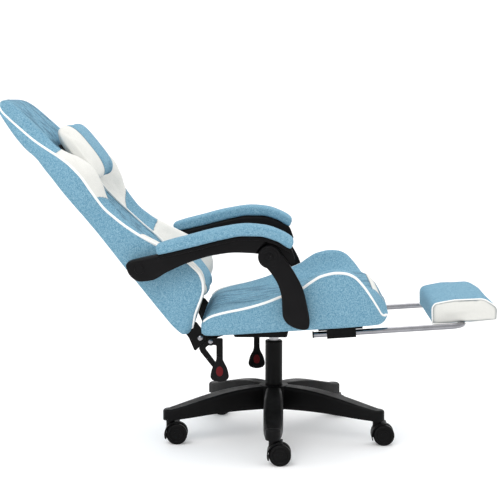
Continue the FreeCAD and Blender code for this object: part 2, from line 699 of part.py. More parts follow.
def frame_bars():
    """The seat frame before drilling, as if its tubes were solid, with two armrest bosses."""
    side = (SEAT_SIDE_IN, SEAT_SIDE_IN + SEAT_TUBE)
    bars = square_tubes(0.0)
    boss = cross_rod(FOOT_X, FOOT_Z, side[0] + 4.0, SEAT_HALF + 1.0, ARM_PIN_R * 2)
    along = (FOOT_X - SEAT_REAR_X) / cos(TILT)
    lug = bar_on_seat((along - 12.0, along + 12.0), (side[0] + 4.0, side[1]), (0.0, POST_FOOT[1] - 8.0))
    for piece in (boss, lug):
        bars += [piece, other_side(piece)]
    return fuse(bars)


def seat_frame():
    """Welded square-tube frame, hollow and drilled for the mechanism's bolts."""
    frame = frame_bars().cut(fuse(square_tubes(SEAT_TUBE_WALL)))
    return frame.cut(both_sides(post_stud())).cut(mechanism_bolts())


def post_stud():
    """Shoulder stud in the frame's boss, on which an armrest post turns."""
    return cross_rod(FOOT_X, FOOT_Z, SEAT_HALF - 20.0, ARM_IN + 26.0, ARM_PIN_R)


def seat_cushion():
    """Bucket cushion, moulded round its frame and slotted where the backrest's plates swing."""
    body = trough(SEAT_SECTIONS, SEAT_LENGTH, 0.0, SEAT_HALF, SEAT_CENTRE_HALF, on_seat)
    plates = (BACK_PLATE_IN - 1.0, BACK_PLATE_IN + HINGE_PLATE + 1.0)
    slot = cross_rod(HINGE_X, HINGE_Z, plates[0], plates[1], PLATE_SWING_R)
    body = body.cut(frame_bars()).cut(both_sides(post_stud())).cut(both_sides(slot))
    return body.cut(both_sides(seat_hinge_plate()))


def seat_cover():
    """Black cloth stretched under the frame's cross members, between the footrest guides."""
    half = RAIL_Y - RAIL_BLOCK_HALF - 4.0
    sheet = bar_on_seat((14.0, SEAT_LENGTH - 45.0), (-half, half), (PLATE_TOP, -SEAT_TUBE_DROP))
    return sheet.cut(mechanism_bolts())


# ---------------------------------------------------------------- recliner and backrest
def stop_point():
    return HINGE_X + STOP_FORWARD, HINGE_Z - STOP_DROP


def seat_hinge_plate():
    """Steel plate on the seat frame: carries the backrest's hinge pin and the lever's pin."""
    stop_x, stop_z = stop_point()
    corners = [
        (HINGE_X - 4.0, HINGE_Z + 17.0, 6.0),
        (HINGE_X - 18.0, HINGE_Z - 2.0, 10.0),
        (HINGE_X - 6.0, HINGE_Z - 19.0, 10.0),
        (stop_x + 6.0, stop_z - 13.0, 8.0),
        (stop_x + 18.0, stop_z + 10.0, 4.0),
        (SEAT_REAR_X + 78.0, seat_line(SEAT_REAR_X + 78.0, -SEAT_TUBE_DROP), 2.0),
        (SEAT_REAR_X + 78.0, seat_line(SEAT_REAR_X + 78.0, 0.0), 0.0),
        (SEAT_REAR_X + 6.0, seat_line(SEAT_REAR_X + 6.0, 0.0), 0.0),
    ]
    body = plate(corners, SEAT_PLATE_IN, SEAT_PLATE_IN + HINGE_PLATE)
    body = body.cut(cross_rod(HINGE_X, HINGE_Z, 0, SEAT_HALF, HINGE_R))
    return body.cut(cross_rod(stop_x, stop_z, 0, SEAT_HALF, STOP_R))


def back_hinge_plate():
    """Steel plate on the backrest frame, turning on the hinge pin."""
    neck = [on_back(s, 0, n) for s, n in ((72.0, 2.0), (72.0, -22.0), (20.0, -24.0))]
    foot = [(-14.6, -38.7, 4.0), (-9.0, -30.5, 6.0), (14.0, -13.0, 10.0)]
    corners = [(on_back(40.0, 0, 20.0).x, on_back(40.0, 0, 20.0).z, 8.0)]
    corners += [(p.x, p.z, 4.0) for p in neck]
    corners += [(HINGE_X + x, HINGE_Z + z, r) for x, z, r in foot]
    corners += [(HINGE_X + 16.0, HINGE_Z + 10.0, 9.0)]
    body = plate(corners, BACK_PLATE_IN, BACK_PLATE_IN + HINGE_PLATE)
    return body.cut(cross_rod(HINGE_X, HINGE_Z, 0, SEAT_HALF, HINGE_R + FIT))


def dome_pin(x, z, inner, shoulder, radius, head):
    """A pin along +Y with a domed head outside the shoulder."""
    shank = cross_rod(x, z, inner, shoulder + 0.5, radius)
    ball_r = (head * head + DOME_RISE * DOME_RISE) / (2 * DOME_RISE)
    ball = Part.makeSphere(ball_r, Vector(x, shoulder + DOME_RISE - ball_r, z))
    cap = ball.common(cross_rod(x, z, shoulder, shoulder + DOME_RISE + 1, head))
    return shank.fuse(cap).removeSplitter()


def hinge_pins():
    """The two domed pins on the recline axis."""
    shoulder = BACK_PLATE_IN + HINGE_PLATE + SIDE_GAP
    pin = dome_pin(HINGE_X, HINGE_Z, SEAT_PLATE_IN, shoulder, HINGE_R, DOME_R)
    return both_sides(pin)


def lever_pins():
    """The pins forward of the hinge: the recline lever turns on the right one."""
    x, z = stop_point()
    right = dome_pin(x, z, SEAT_PLATE_IN, LEVER_IN + HINGE_PLATE + SIDE_GAP, STOP_R, STOP_R + 3.5)
    left = dome_pin(x, z, SEAT_PLATE_IN, SEAT_PLATE_IN + HINGE_PLATE, STOP_R, STOP_R + 3.5)
    return Part.makeCompound([other_side(right), left])


def recline_lever():
    """Steel lever on the sitter's right: an eye, a hanging stalk and a brace to its rear."""
    x, z = stop_point()
    stalk_x = SEAT_REAR_X + 48.0
    low = z - 58.0
    inner, outer = LEVER_IN, LEVER_IN + HINGE_PLATE
    eye = cross_rod(x, z, inner, outer, STOP_R + 7.0)
    arm = [(x - 5, z + 10, 2.0), (x - 5, z - 8, 2.0), (stalk_x - 9, z - 10, 3.0), (stalk_x - 9, low, 2.0)]
    arm += [(stalk_x + 9, low, 2.0), (stalk_x + 9, z + 10, 4.0)]
    brace = [
        (HINGE_X - 4.0, HINGE_Z - 27.0, 4.0),
        (HINGE_X + 1.0, HINGE_Z - 38.0, 4.0),
        (stalk_x - 12.0, low - 22.0, 4.0),
        (stalk_x - 4.0, low - 22.0, 4.0),
        (stalk_x - 4.0, low - 9.0, 4.0),
        (x - 15.0, z - 18.0, 4.0),
        (x - 2.0, z - 7.0, 3.0),
        (x - 4.0, z + 8.0, 3.0),
    ]
    body = fuse([eye, plate(arm, inner, outer), plate(brace, inner, outer)])
    body = body.cut(cross_rod(x, z, 0, SEAT_HALF, STOP_R + FIT))
    return other_side(body)


def recline_lever_paddle():
    stalk_x = SEAT_REAR_X + 48.0
    top = stop_point()[1] - 40.0
    middle = LEVER_IN + HINGE_PLATE / 2 + 3.0
    grip = paddle(stalk_x, middle, top, 10.0)
    return other_side(grip).cut(recline_lever())


def round_tubes(trim):
    """The back frame's two uprights and three cross tubes, made thinner by trim."""
    tubes = []
    for y in (-BACK_TUBE_Y, BACK_TUBE_Y):
        low = on_back(BACK_FRAME_LOW - trim, y, BACK_TUBE_OFFSET)
        high = on_back(BACK_FRAME_TOP - trim, y, BACK_TUBE_OFFSET)
        tubes.append(rod(low, high, BACK_TUBE_R - trim))
    for up in (80.0, 0.55 * BACK_FRAME_TOP, BACK_FRAME_TOP - BACK_TUBE_R):
        ends = [on_back(up, y, BACK_TUBE_OFFSET) for y in (-BACK_TUBE_Y, BACK_TUBE_Y)]
        tubes.append(rod(ends[0], ends[1], BACK_TUBE_R * 0.8 - trim))
    return tubes


def back_bars():
    """The back frame as if its tubes were solid, with the armrests' bosses."""
    tubes = round_tubes(0.0)
    pivot = on_back(REAR_PIVOT_UP, 0, REAR_PIVOT_OUT)
    boss = cross_rod(pivot.x, pivot.z, BACK_TUBE_Y, BACK_SIDE + 2.0, REAR_STUD_R + 6.0)
    return fuse(tubes + [boss, other_side(boss)])


def back_frame():
    """Welded round-tube frame, hollow and open at the foot of its uprights."""
    frame = back_bars().cut(fuse(round_tubes(BACK_TUBE_WALL)))
    return frame.cut(arm_rear_studs())


def arm_rear_studs():
    """Studs on the backrest frame that carry the armrests' rear ends."""
    pivot = on_back(REAR_PIVOT_UP, 0, REAR_PIVOT_OUT)
    stud = cross_rod(pivot.x, pivot.z, BACK_SIDE - 20.0, ARM_IN + REAR_STUD_REACH, REAR_STUD_R)
    return both_sides(stud)


def back_cushion():
    body = trough(BACK_SECTIONS, BACK_LENGTH, BACK_START, BACK_HALF, BACK_CENTRE_HALF, on_back)
    body = body.cut(back_bars()).cut(arm_rear_studs()).cut(strap_slots())
    return body.cut(both_sides(back_hinge_plate()))


def lumbar_pillow():
    return pillow(LUMBAR_HALF, LUMBAR_SPAN, LUMBAR_DEPTH, LUMBAR_END_DEPTH)


def headrest_pillow():
    return pillow(HEADREST_HALF, HEADREST_SPAN, HEADREST_DEPTH, HEADREST_END_DEPTH)


def strap_block(along, across_y, out):
    """A block in the backrest's frame, from its three ranges."""
    corners = [(s, n, 0) for s, n in ((along[0], out[0]), (along[1], out[0]), (along[1], out[1]), (along[0], out[1]))]
    return across(round_wire(corners, lambda s, n: on_back(s, 0, n)), *across_y)


def strap_slots():
    """Two slots through the head of the backrest, each a little wider than the tape."""
    reach = STRAP_WIDTH / 2 + STRAP_SLOT
    along = (STRAP_CENTRE - reach, STRAP_CENTRE + reach)
    slot = (STRAP_HALF - STRAP_THICK - STRAP_SLOT, STRAP_HALF + STRAP_SLOT)
    return both_sides(strap_block(along, slot, (STRAP_DEPTH[0] - 20.0, STRAP_DEPTH[1] + 20.0)))


def headrest_strap():
    """Elastic tape behind the pillow, through both slots and across the rear face."""
    low, high = STRAP_CENTRE - STRAP_WIDTH / 2, STRAP_CENTRE + STRAP_WIDTH / 2
    inner = STRAP_HALF - STRAP_THICK
    hollow = (STRAP_DEPTH[0] + STRAP_THICK, STRAP_DEPTH[1] - STRAP_THICK)
    band = strap_block((low, high), (-STRAP_HALF, STRAP_HALF), STRAP_DEPTH)
    return band.cut(strap_block((low - 5.0, high + 5.0), (-inner, inner), hollow))


# ---------------------------------------------------------------- linked armrests (left side)
ARM_TOP = ((-297.0, 5.4), (-213.7, 24.0), (-121.0, 47.0), (-72.0, 55.5), (-28.0, 55.0), (18.0, 42.5), (55.0, 22.6))
ARM_UNDER = ((58.0, -22.0), (-44.0, 8.6), (-90.0, 10.2), (-152.0, 2.4), (-213.7, -16.0), (-275.0, -43.5))
ARM_HEEL = ((-275.0, -43.5), (-317.0, -68.5), (-350.0, -72.5), (-378.5, -53.0), (-388.0, -25.5))
PAD_TOP = ((-291.0, 36.5), (-213.0, 58.5), (-136.0, 78.0), (-59.0, 88.5), (-13.0, 84.5), (33.0, 69.0), (60.0, 51.5))
POST_REAR = ((-8.0, -30.0), (11.0, -54.0), (25.6, -83.0), (32.8, -116.0), (34.7, -157.0))
POST_TOE = ((34.7, -157.0), (40.0, -172.0), (54.0, -186.0), (73.0, -194.5), (91.0, -197.5))
POST_FRONT = ((108.0, -178.0), (101.7, -136.7), (89.4, -87.4), (68.9, -46.0), (46.0, -11.0), (29.0, 10.0))


def knuckle_points(pairs):
    return [by_knuckle(x, z) for x, z in pairs]


def arm_wire():
    top = knuckle_points(ARM_TOP)
    under = knuckle_points(ARM_UNDER)
    heel = knuckle_points(ARM_HEEL)
    crown = by_knuckle(-376.0, -14.0)
    nose = by_knuckle(70.0, -13.0)
    edges = [curve(top), segment(top[-1], nose), segment(nose, under[0])]
    edges += [segment(under[0], under[1]), curve(under[1:]), curve(heel)]
    edges += [segment(heel[-1], crown), segment(crown, top[0])]
    return Part.Wire(edges)


def arm_link():
    """Plastic arm: a web that meets the post, a thick grip behind it and a lip under the pad."""
    wire = arm_wire()
    web = across(wire, ARM_IN, ARM_IN + ARM_WEB)
    hub = cross_rod(KNUCKLE_X, KNUCKLE_Z, ARM_IN, ARM_IN + ARM_WEB, KNUCKLE_R - 4.0)
    body = across(wire, ARM_IN, ARM_IN + ARM_BODY)
    room = KNUCKLE_R + 2.5
    box = Part.makeBox(400, ARM_BODY + 2, 300, Vector(KNUCKLE_X - room, ARM_IN - 1, KNUCKLE_Z - 200))
    body = body.cut(box)
    top = knuckle_points(ARM_TOP)
    drop = Vector(0, 0, -ARM_LIP_THICK)
    lower = curve([p + drop for p in top])
    lip_wire = Part.Wire([curve(top), segment(top[-1], top[-1] + drop), lower, segment(top[0] + drop, top[0])])
    lip = across(lip_wire, ARM_IN, ARM_IN + ARM_LIP)
    arm = fuse([web, hub, body, lip])
    arm = arm.cut(knuckle_pin())
    pivot = on_back(REAR_PIVOT_UP, 0, REAR_PIVOT_OUT)
    depth = ARM_IN + REAR_STUD_REACH + 4.0
    pocket = cross_rod(pivot.x, pivot.z, ARM_IN - 1, depth, REAR_STUD_R + REAR_STUD_CLEAR)
    return arm.cut(pocket)


def arm_pad():
    top = knuckle_points(PAD_TOP)
    base = knuckle_points(ARM_TOP)
    tail = by_knuckle(-303.0, 30.0)
    nose = by_knuckle(65.0, 42.0)
    edges = [curve(base), segment(base[-1], nose), segment(nose, top[-1]), curve(top)]
    edges += [segment(top[0], tail), segment(tail, base[0])]
    middle = SEAT_HALF + PAD_CENTRE_OUT
    return across(Part.Wire(edges), middle - PAD_HALF, middle + PAD_HALF)


def arm_post():
    """Boot-shaped post: thin beside the knuckle, thick at the foot, bored for both pins."""
    rear = knuckle_points(POST_REAR)
    toe = knuckle_points(POST_TOE)
    front = knuckle_points(POST_FRONT)
    tip = by_knuckle(105.0, -194.0)
    edges = [curve(rear), curve(toe), segment(toe[-1], tip), segment(tip, front[0])]
    wire = Part.Wire(edges + [curve(front), segment(front[-1], rear[0])])
    outer = across(wire, POST_IN, POST_OUT)
    disc = cross_rod(KNUCKLE_X, KNUCKLE_Z, POST_IN, POST_OUT, KNUCKLE_R)
    foot = across(wire, ARM_IN, POST_OUT)
    clear = KNUCKLE_R * 2.8
    foot = foot.cut(cross_rod(KNUCKLE_X, KNUCKLE_Z, ARM_IN - 1, POST_OUT + 1, clear))
    post = fuse([outer, disc, foot])
    bore = cross_rod(KNUCKLE_X, KNUCKLE_Z, POST_IN - 1, POST_OUT + 1, ARM_PIN_R + FIT)
    socket = cross_rod(FOOT_X, FOOT_Z, ARM_IN - 1, ARM_IN + 26.0 + SIDE_GAP, ARM_PIN_R + FIT)
    return post.cut(bore).cut(socket)


def knuckle_pin():
    """Pin fixed in the arm, on which the post's disc turns."""
    pin = cross_rod(KNUCKLE_X, KNUCKLE_Z, ARM_IN + 4.0, POST_OUT + SIDE_GAP, ARM_PIN_R)
    cap = cross_rod(KNUCKLE_X, KNUCKLE_Z, POST_OUT + SIDE_GAP, POST_OUT + SIDE_GAP + 2.0, ARM_PIN_R + 3.0)
    return pin.fuse(cap).removeSplitter()


# ---------------------------------------------------------------- footrest
def rail_block():
    """Black guide under the seat, in which one leg of the footrest bar slides."""
    under = -SEAT_TUBE_DROP
    y = (RAIL_Y - RAIL_BLOCK_HALF, RAIL_Y + RAIL_BLOCK_HALF)
    block = bar_on_seat(RAIL_BLOCK, y, (-RAIL_BLOCK_BOTTOM, under))
    flange = bar_on_seat(RAIL_FLANGE, (y[0] - 3.0, y[1]), (under - 11.0, under))
    bore = rod(on_seat(0, RAIL_Y, -RAIL_DROP), on_seat(SEAT_LENGTH, RAIL_Y, -RAIL_DROP), RAIL_TUBE_R + FIT)
    return fuse([block, flange]).cut(bore)


def bar_path():
    """The footrest bar's centre line: a leg, a bend, the cross bar, a bend and a leg."""
    y = RAIL_Y
    turn = RAIL_BEND
    k = turn * (1 - cos(pi / 4))

    def at(along, across_y):
        return on_seat(along, across_y, -RAIL_DROP)

    edges = [
        segment(at(RAIL_REAR, -y), at(RAIL_FRONT - turn, -y)),
        Part.Arc(at(RAIL_FRONT - turn, -y), at(RAIL_FRONT - k, k - y), at(RAIL_FRONT, turn - y)).toShape(),
        segment(at(RAIL_FRONT, turn - y), at(RAIL_FRONT, y - turn)),
        Part.Arc(at(RAIL_FRONT, y - turn), at(RAIL_FRONT - k, y - k), at(RAIL_FRONT - turn, y)).toShape(),
        segment(at(RAIL_FRONT - turn, y), at(RAIL_REAR, y)),
    ]
    return Part.Wire(edges)


def footrest_bar():
    """Chrome U-shaped tube, with the wall it really has."""
    start = on_seat(RAIL_REAR, -RAIL_Y, -RAIL_DROP)
    ahead = on_seat(1, 0, 0) - on_seat(0, 0, 0)
    path = bar_path()
    solids = []
    for radius in (RAIL_TUBE_R, RAIL_TUBE_R - RAIL_TUBE_WALL):
        ring = Part.Wire(Part.makeCircle(radius, start, ahead))
        solids.append(path.makePipeShell([ring], True, False))
    return solids[0].cut(solids[1])


def bar_stops():
    """Stop plugs in the bar's two open ends, which keep it from pulling out of its guides."""
    first = on_seat(RAIL_REAR - 4.0, RAIL_Y, -RAIL_DROP)
    face = on_seat(RAIL_REAR, RAIL_Y, -RAIL_DROP)
    inside = on_seat(RAIL_REAR + 14.0, RAIL_Y, -RAIL_DROP)
    cap = rod(first, face, RAIL_TUBE_R + 1.5)
    return both_sides(cap.fuse(rod(face, inside, RAIL_TUBE_R - RAIL_TUBE_WALL)).removeSplitter())


def board_level(along, up):
    """A side-view point above the plane where the footrest board lies on its saddles."""
    return on_seat(along, 0, up - RAIL_DROP + RAIL_TUBE_R + CLIP_WALL)


def footrest_board():
    corners = [
        (FOOT_BOARD[0] + 8.0, 0.0, 0),
        (FOOT_BOARD[1] - 8.0, 0.0, 0),
        (FOOT_BOARD[1] - 8.0, FOOT_BOARD_THICK, 2.0),
        (FOOT_BOARD[0] + 8.0, FOOT_BOARD_THICK, 2.0),
    ]
    return across(round_wire(corners, board_level), 8.0 - FOOT_HALF, FOOT_HALF - 8.0)


def footrest_pad():
    """Padded top of the footrest, folded down round the edges of its board."""
    high = FOOT_BOARD_THICK + FOOT_PAD_THICK
    corners = [
        (FOOT_BOARD[0], 0.0, 3.0),
        (FOOT_BOARD[1], 0.0, 3.0),
        (FOOT_BOARD[1] + 2.0, high * 0.62, 16.0),
        (FOOT_BOARD[0] + 0.68 * (FOOT_BOARD[1] - FOOT_BOARD[0]), high + 6.0, 60.0),
        (FOOT_BOARD[0], high - 4.0, 14.0),
    ]
    return across(round_wire(corners, board_level), -FOOT_HALF, FOOT_HALF).cut(footrest_board())


def footrest_clips():
    """Two plastic saddles screwed under the board, which turn on the cross bar."""
    reach = RAIL_TUBE_R + CLIP_WALL
    clips = []
    for y in (-CLIP_Y, CLIP_Y):
        ends = [on_seat(RAIL_FRONT, y + side * CLIP_WIDTH / 2, -RAIL_DROP) for side in (-1, 1)]
        ring = rod(ends[0], ends[1], reach)
        foot = bar_on_seat(
            (RAIL_FRONT - 24.0, RAIL_FRONT + 24.0),
            (y - CLIP_WIDTH / 2, y + CLIP_WIDTH / 2),
            (-RAIL_DROP + RAIL_TUBE_R - 1.0, -RAIL_DROP + reach),
        )
        past = [on_seat(RAIL_FRONT, y + side * CLIP_WIDTH, -RAIL_DROP) for side in (-1, 1)]
        clips.append(ring.fuse(foot).removeSplitter().cut(rod(past[0], past[1], RAIL_TUBE_R + FIT)))
    return Part.makeCompound(clips)


# ---------------------------------------------------------------- one file for each sub-part
def build():
    nodes = {
        "star_base": star_base(),
        "column_tube": column_tube(),
        "guide_bush": guide_bush(),
        "thrust_bearing": thrust_bearing(),
        "piston_rod": piston_rod(),
        "gas_cylinder": gas_cylinder(),
        "valve_button": valve_button(),
        "mechanism_plate": mechanism_plate(),
        "mechanism_bolts": mechanism_bolts(),
        "height_lever_pin": lift_pin(),
        "height_lever_rod": height_lever_rod(),
        "height_lever_paddle": height_lever_paddle(),
        "seat_frame": seat_frame(),
        "seat_cushion": seat_cushion(),
        "seat_cover": seat_cover(),
        "hinge_pins": hinge_pins(),
        "lever_pins": lever_pins(),
        "recline_lever": recline_lever(),
        "recline_lever_paddle": recline_lever_paddle(),
        "back_frame": back_frame(),
        "back_cushion": back_cushion(),
        "lumbar_pillow": lumbar_pillow(),
        "headrest_pillow": headrest_pillow(),
        "headrest_strap": headrest_strap(),
        "arm_rear_studs": arm_rear_studs(),
        "post_studs": both_sides(post_stud()),
        "footrest_bar": footrest_bar(),
        "bar_stops": bar_stops(),
        "footrest_board": footrest_board(),
        "footrest_pad": footrest_pad(),
        "footrest_clips": footrest_clips(),
    }
    pairs = {
        "seat_hinge_plate": seat_hinge_plate(),
        "back_hinge_plate": back_hinge_plate(),
        "arm_link": arm_link(),
        "arm_pad": arm_pad(),
        "arm_post": arm_post(),
        "knuckle_pin": knuckle_pin(),
        "footrest_rail": rail_block(),
    }
    for name, shape in pairs.items():
        nodes[name + "_left"] = shape
        nodes[name + "_right"] = other_side(shape)
    for number, (x, y) in enumerate(caster_places(), 1):
        nodes[f"caster_{number}_hood"] = caster_hood(x, y)
        nodes[f"caster_{number}_pins"] = caster_pins(x, y)
        nodes[f"caster_{number}_wheels"] = caster_wheels(x, y)
    return nodes


os.makedirs("parts", exist_ok=True)
for node, shape in build().items():
    if not shape.isValid() or not shape.Solids:
        raise ValueError(f"{node} is not a valid solid")
    print(f"{node}: {len(shape.Solids)} solid(s), {shape.Volume / 1000:.1f} cm3")
    shape.exportStep(f"parts/{node}.step")
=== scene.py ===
# %% [markdown]
# # A reclining chair dressed over its CAD frame
# The CAD model gives the size and place of every part. This notebook loads it as a fixed
# frame and makes the looks: cloth, leather, piping, moulded nylon and steel. Soft parts are
# rebuilt as surfaces with seams, and hard parts keep their CAD shape where it is right.

# %% Load the frame
import bmesh
import bpy
import numpy as np
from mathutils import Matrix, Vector
from mathutils.bvhtree import BVHTree


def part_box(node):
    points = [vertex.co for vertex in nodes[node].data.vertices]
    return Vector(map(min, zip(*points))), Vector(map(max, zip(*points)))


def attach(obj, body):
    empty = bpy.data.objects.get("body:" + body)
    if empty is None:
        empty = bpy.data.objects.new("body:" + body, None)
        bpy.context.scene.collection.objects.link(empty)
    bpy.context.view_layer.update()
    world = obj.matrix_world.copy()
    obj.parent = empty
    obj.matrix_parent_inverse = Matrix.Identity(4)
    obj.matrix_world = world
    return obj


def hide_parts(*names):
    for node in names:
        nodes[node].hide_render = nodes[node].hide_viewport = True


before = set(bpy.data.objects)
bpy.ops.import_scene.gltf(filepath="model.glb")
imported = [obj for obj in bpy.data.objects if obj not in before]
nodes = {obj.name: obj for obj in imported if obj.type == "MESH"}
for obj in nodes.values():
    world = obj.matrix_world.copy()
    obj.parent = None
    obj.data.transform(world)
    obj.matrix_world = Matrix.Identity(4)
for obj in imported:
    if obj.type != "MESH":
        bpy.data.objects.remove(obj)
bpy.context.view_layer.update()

print("CAD nodes loaded:", len(nodes))

# %% [markdown]
# ## Camera
# A long lens nearly four metres away keeps the chair's lines nearly parallel. The camera looks
# down by seven degrees, and it is turned with a quaternion that points its own -Z axis along
# a given direction, which is easier to read than three angles.

# %% Camera
VIEW_FROM = (0.0202, -3.7824, 1.0111)
VIEW_ALONG = Vector((-0.0235, 0.9923, -0.1220))
lens = bpy.data.cameras.new("camera")
lens.lens = 95.10
lens.sensor_width = 36.0
lens.clip_end = 60.0
camera = bpy.data.objects.new("camera", lens)
camera.location = VIEW_FROM
camera.rotation_euler = VIEW_ALONG.to_track_quat("-Z", "Y").to_euler()
bpy.context.scene.collection.objects.link(camera)
bpy.context.scene.camera = camera
bpy.context.scene.view_settings.view_transform = "Standard"
print("lens in millimetres:", round(lens.lens, 2))

# %% [markdown]
# ### Lamps and world
# White studio walls light an object from every side. A world that glows evenly does the same
# here, and two big square lamps give the shapes their soft shade. Small lamps would be simpler,
# but they draw hard-edged shadows.

# %% Lamps and world
def soft_lamp(name, place, aim, size, power):
    """A square lamp at place, turned so that it shines towards aim."""
    lamp = bpy.data.lights.new(name, "AREA")
    lamp.size = size
    lamp.energy = power
    holder = bpy.data.objects.new(name, lamp)
    holder.location = place
    holder.rotation_euler = (Vector(aim) - Vector(place)).to_track_quat("-Z", "Y").to_euler()
    bpy.context.scene.collection.objects.link(holder)


soft_lamp("key_lamp", place=(-1.2, -2.6, 3.4), aim=(0, 0, 0.5), size=2.2, power=54)
soft_lamp("top_lamp", place=(0.9, 1.2, 3.6), aim=(0, 0, 0.4), size=2.6, power=38)
world = bpy.data.worlds.new("studio")
world.use_nodes = True
world.node_tree.nodes["Background"].inputs["Color"].default_value = (1.0, 1.0, 1.0, 1)
world.node_tree.nodes["Background"].inputs["Strength"].default_value = 1.0
bpy.context.scene.world = world

# %% [markdown]
# ## Two leaning frames
# The seat is tipped up a little and the backrest leans far back. It is easier to shape each
# cushion in its own frame, where one number runs up the cushion, one goes across it and one
# comes out of its face, and then to turn the whole array of points into the chair's frame.

# %% Turning cushion coordinates into the chair's
TILT = np.radians(3.8)
LEAN = np.radians(38.4)
SEAT_EDGE = (-0.196, 0.344)
HINGE = (-0.2014, 0.3267)  # each is a place (x, z) in the chair's middle plane


def on_seat(along, y, up):
    """Points of the seat: its lower rear edge, plus along times the seat's own forward line,
    plus up times the line square to it."""
    along, y, up = np.broadcast_arrays(along, y, up)
    x = SEAT_EDGE[0] + along * np.cos(TILT) - up * np.sin(TILT)
    return np.stack([x, y, SEAT_EDGE[1] + along * np.sin(TILT) + up * np.cos(TILT)], -1)


def on_back(up, y, out):
    """Points of the backrest: the hinge, plus up times the back's own line, plus out times the
    line square to its face."""
    up, y, out = np.broadcast_arrays(up, y, out)
    x = HINGE[0] - up * np.sin(LEAN) + out * np.cos(LEAN)
    return np.stack([x, y, HINGE[1] + up * np.cos(LEAN) + out * np.sin(LEAN)], -1)


SEAT_ALONG = on_seat(1, 0, 0) - on_seat(0, 0, 0)
BACK_UP = on_back(1, 0, 0) - on_back(0, 0, 0)
ACROSS = np.array([0.0, 1.0, 0.0])
SIDES = ((1, "left"), (-1, "right"))
print("seat forward:", SEAT_ALONG.round(3), "back upward:", BACK_UP.round(3))

# %% [markdown]
# ## From arrays to meshes
# Every new piece starts as an array of points, row by row. One helper joins each ring of
# points to the next, and another draws a smooth curve through a few measured values. A curve
# that never overshoots its points suits outlines, because a bulge stays where it was put.

# %% Curves and skins
def smooth_through(x, xs, ys):
    """Cubic curve through (xs, ys). Its slope at a point is the harmonic mean of the slopes on
    both sides, and zero where they change sign, so it never swings past a point."""
    xs = np.asarray(xs, float)
    ys = np.asarray(ys, float).reshape(len(xs), -1)
    step = np.maximum(np.diff(xs), 1e-12)[:, None]
    rise = np.diff(ys, axis=0) / step
    product = rise[:-1] * rise[1:]
    total = rise[:-1] + rise[1:]
    middle = np.where(product > 0, 2 * product / np.where(total == 0, 1, total), 0)
    slope = np.vstack([rise[:1], middle, rise[-1:]])
    k = np.clip(np.searchsorted(xs, x, side="right") - 1, 0, len(xs) - 2)
    t = ((x - xs[k]) / step[k, 0])[:, None]
    leaving = (1 + 2 * t) * (1 - t) ** 2 * ys[k] + t * (1 - t) ** 2 * step[k] * slope[k]
    return leaving + t * t * (3 - 2 * t) * ys[k + 1] + t * t * (t - 1) * step[k] * slope[k + 1]


def along_chain(points, count):
    """count points spread evenly by length on the smooth curve through a few points."""
    points = np.asarray(points, float)
    far = np.concatenate([[0], np.cumsum(np.linalg.norm(np.diff(points, axis=0), axis=1))])
    fine = smooth_through(np.linspace(0, far[-1], count * 8), far, points)
    far = np.concatenate([[0], np.cumsum(np.linalg.norm(np.diff(fine, axis=0), axis=1))])
    even = np.linspace(0, far[-1], count)
    return np.stack([np.interp(even, far, fine[:, i]) for i in range(points.shape[1])], -1)


def grid_faces(rows, cols):
    """Quads between neighbouring rings; the last point of a ring joins its first."""
    i, j = np.meshgrid(np.arange(rows - 1), np.arange(cols), indexing="ij")
    k = (j + 1) % cols
    quads = [i * cols + j, i * cols + k, (i + 1) * cols + k, (i + 1) * cols + j]
    return np.stack(quads, -1).reshape(-1, 4)


def open_faces(rows, cols):
    """Quads between neighbouring rows of an open grid, which isn't joined round."""
    i, j = np.meshgrid(np.arange(rows - 1), np.arange(cols - 1), indexing="ij")
    quads = [i * cols + j, i * cols + j + 1, (i + 1) * cols + j + 1, (i + 1) * cols + j]
    return np.stack(quads, -1).reshape(-1, 4)


def link_mesh(name, points, faces):
    """A mesh object whose normals all point outwards and whose faces shade smoothly."""
    mesh = bpy.data.meshes.new(name)
    mesh.from_pydata(np.asarray(points).reshape(-1, 3).tolist(), [], faces)
    work = bmesh.new()
    work.from_mesh(mesh)
    bmesh.ops.remove_doubles(work, verts=work.verts, dist=2e-6)
    bmesh.ops.recalc_face_normals(work, faces=work.faces)
    work.to_mesh(mesh)
    work.free()
    mesh.shade_smooth()
    piece = bpy.data.objects.new(name, mesh)
    bpy.context.scene.collection.objects.link(piece)
    return piece


def skin(name, rings):
    """A closed skin over rings of points: ring joined to ring, and both ends filled."""
    rows, cols = rings.shape[:2]
    faces = grid_faces(rows, cols).tolist()
    faces += [list(range(cols)), list(range((rows - 1) * cols, rows * cols))]
    return link_mesh(name, rings, faces)


def corners_of(piece):
    """All the piece's vertices as one array."""
    flat = np.empty(len(piece.data.vertices) * 3, np.float32)
    piece.data.vertices.foreach_get("co", flat)
    return flat.reshape(-1, 3).astype(float)


def mark(piece, name, values):
    """Stores one number for each vertex under name, for a material to read."""
    layer = piece.data.attributes.new(name, "FLOAT", "POINT")
    layer.data.foreach_set("value", np.asarray(values, np.float32))


# %% [markdown]
# ## Laying thread on a curved cover
# Threads should have the same width all over a cover. Each face is laid flat on whichever of
# three square planes it faces most, and its corners' places on that plane, in metres, become
# the UV map. Panels of real covers are cut flat and sewn in much the same way.

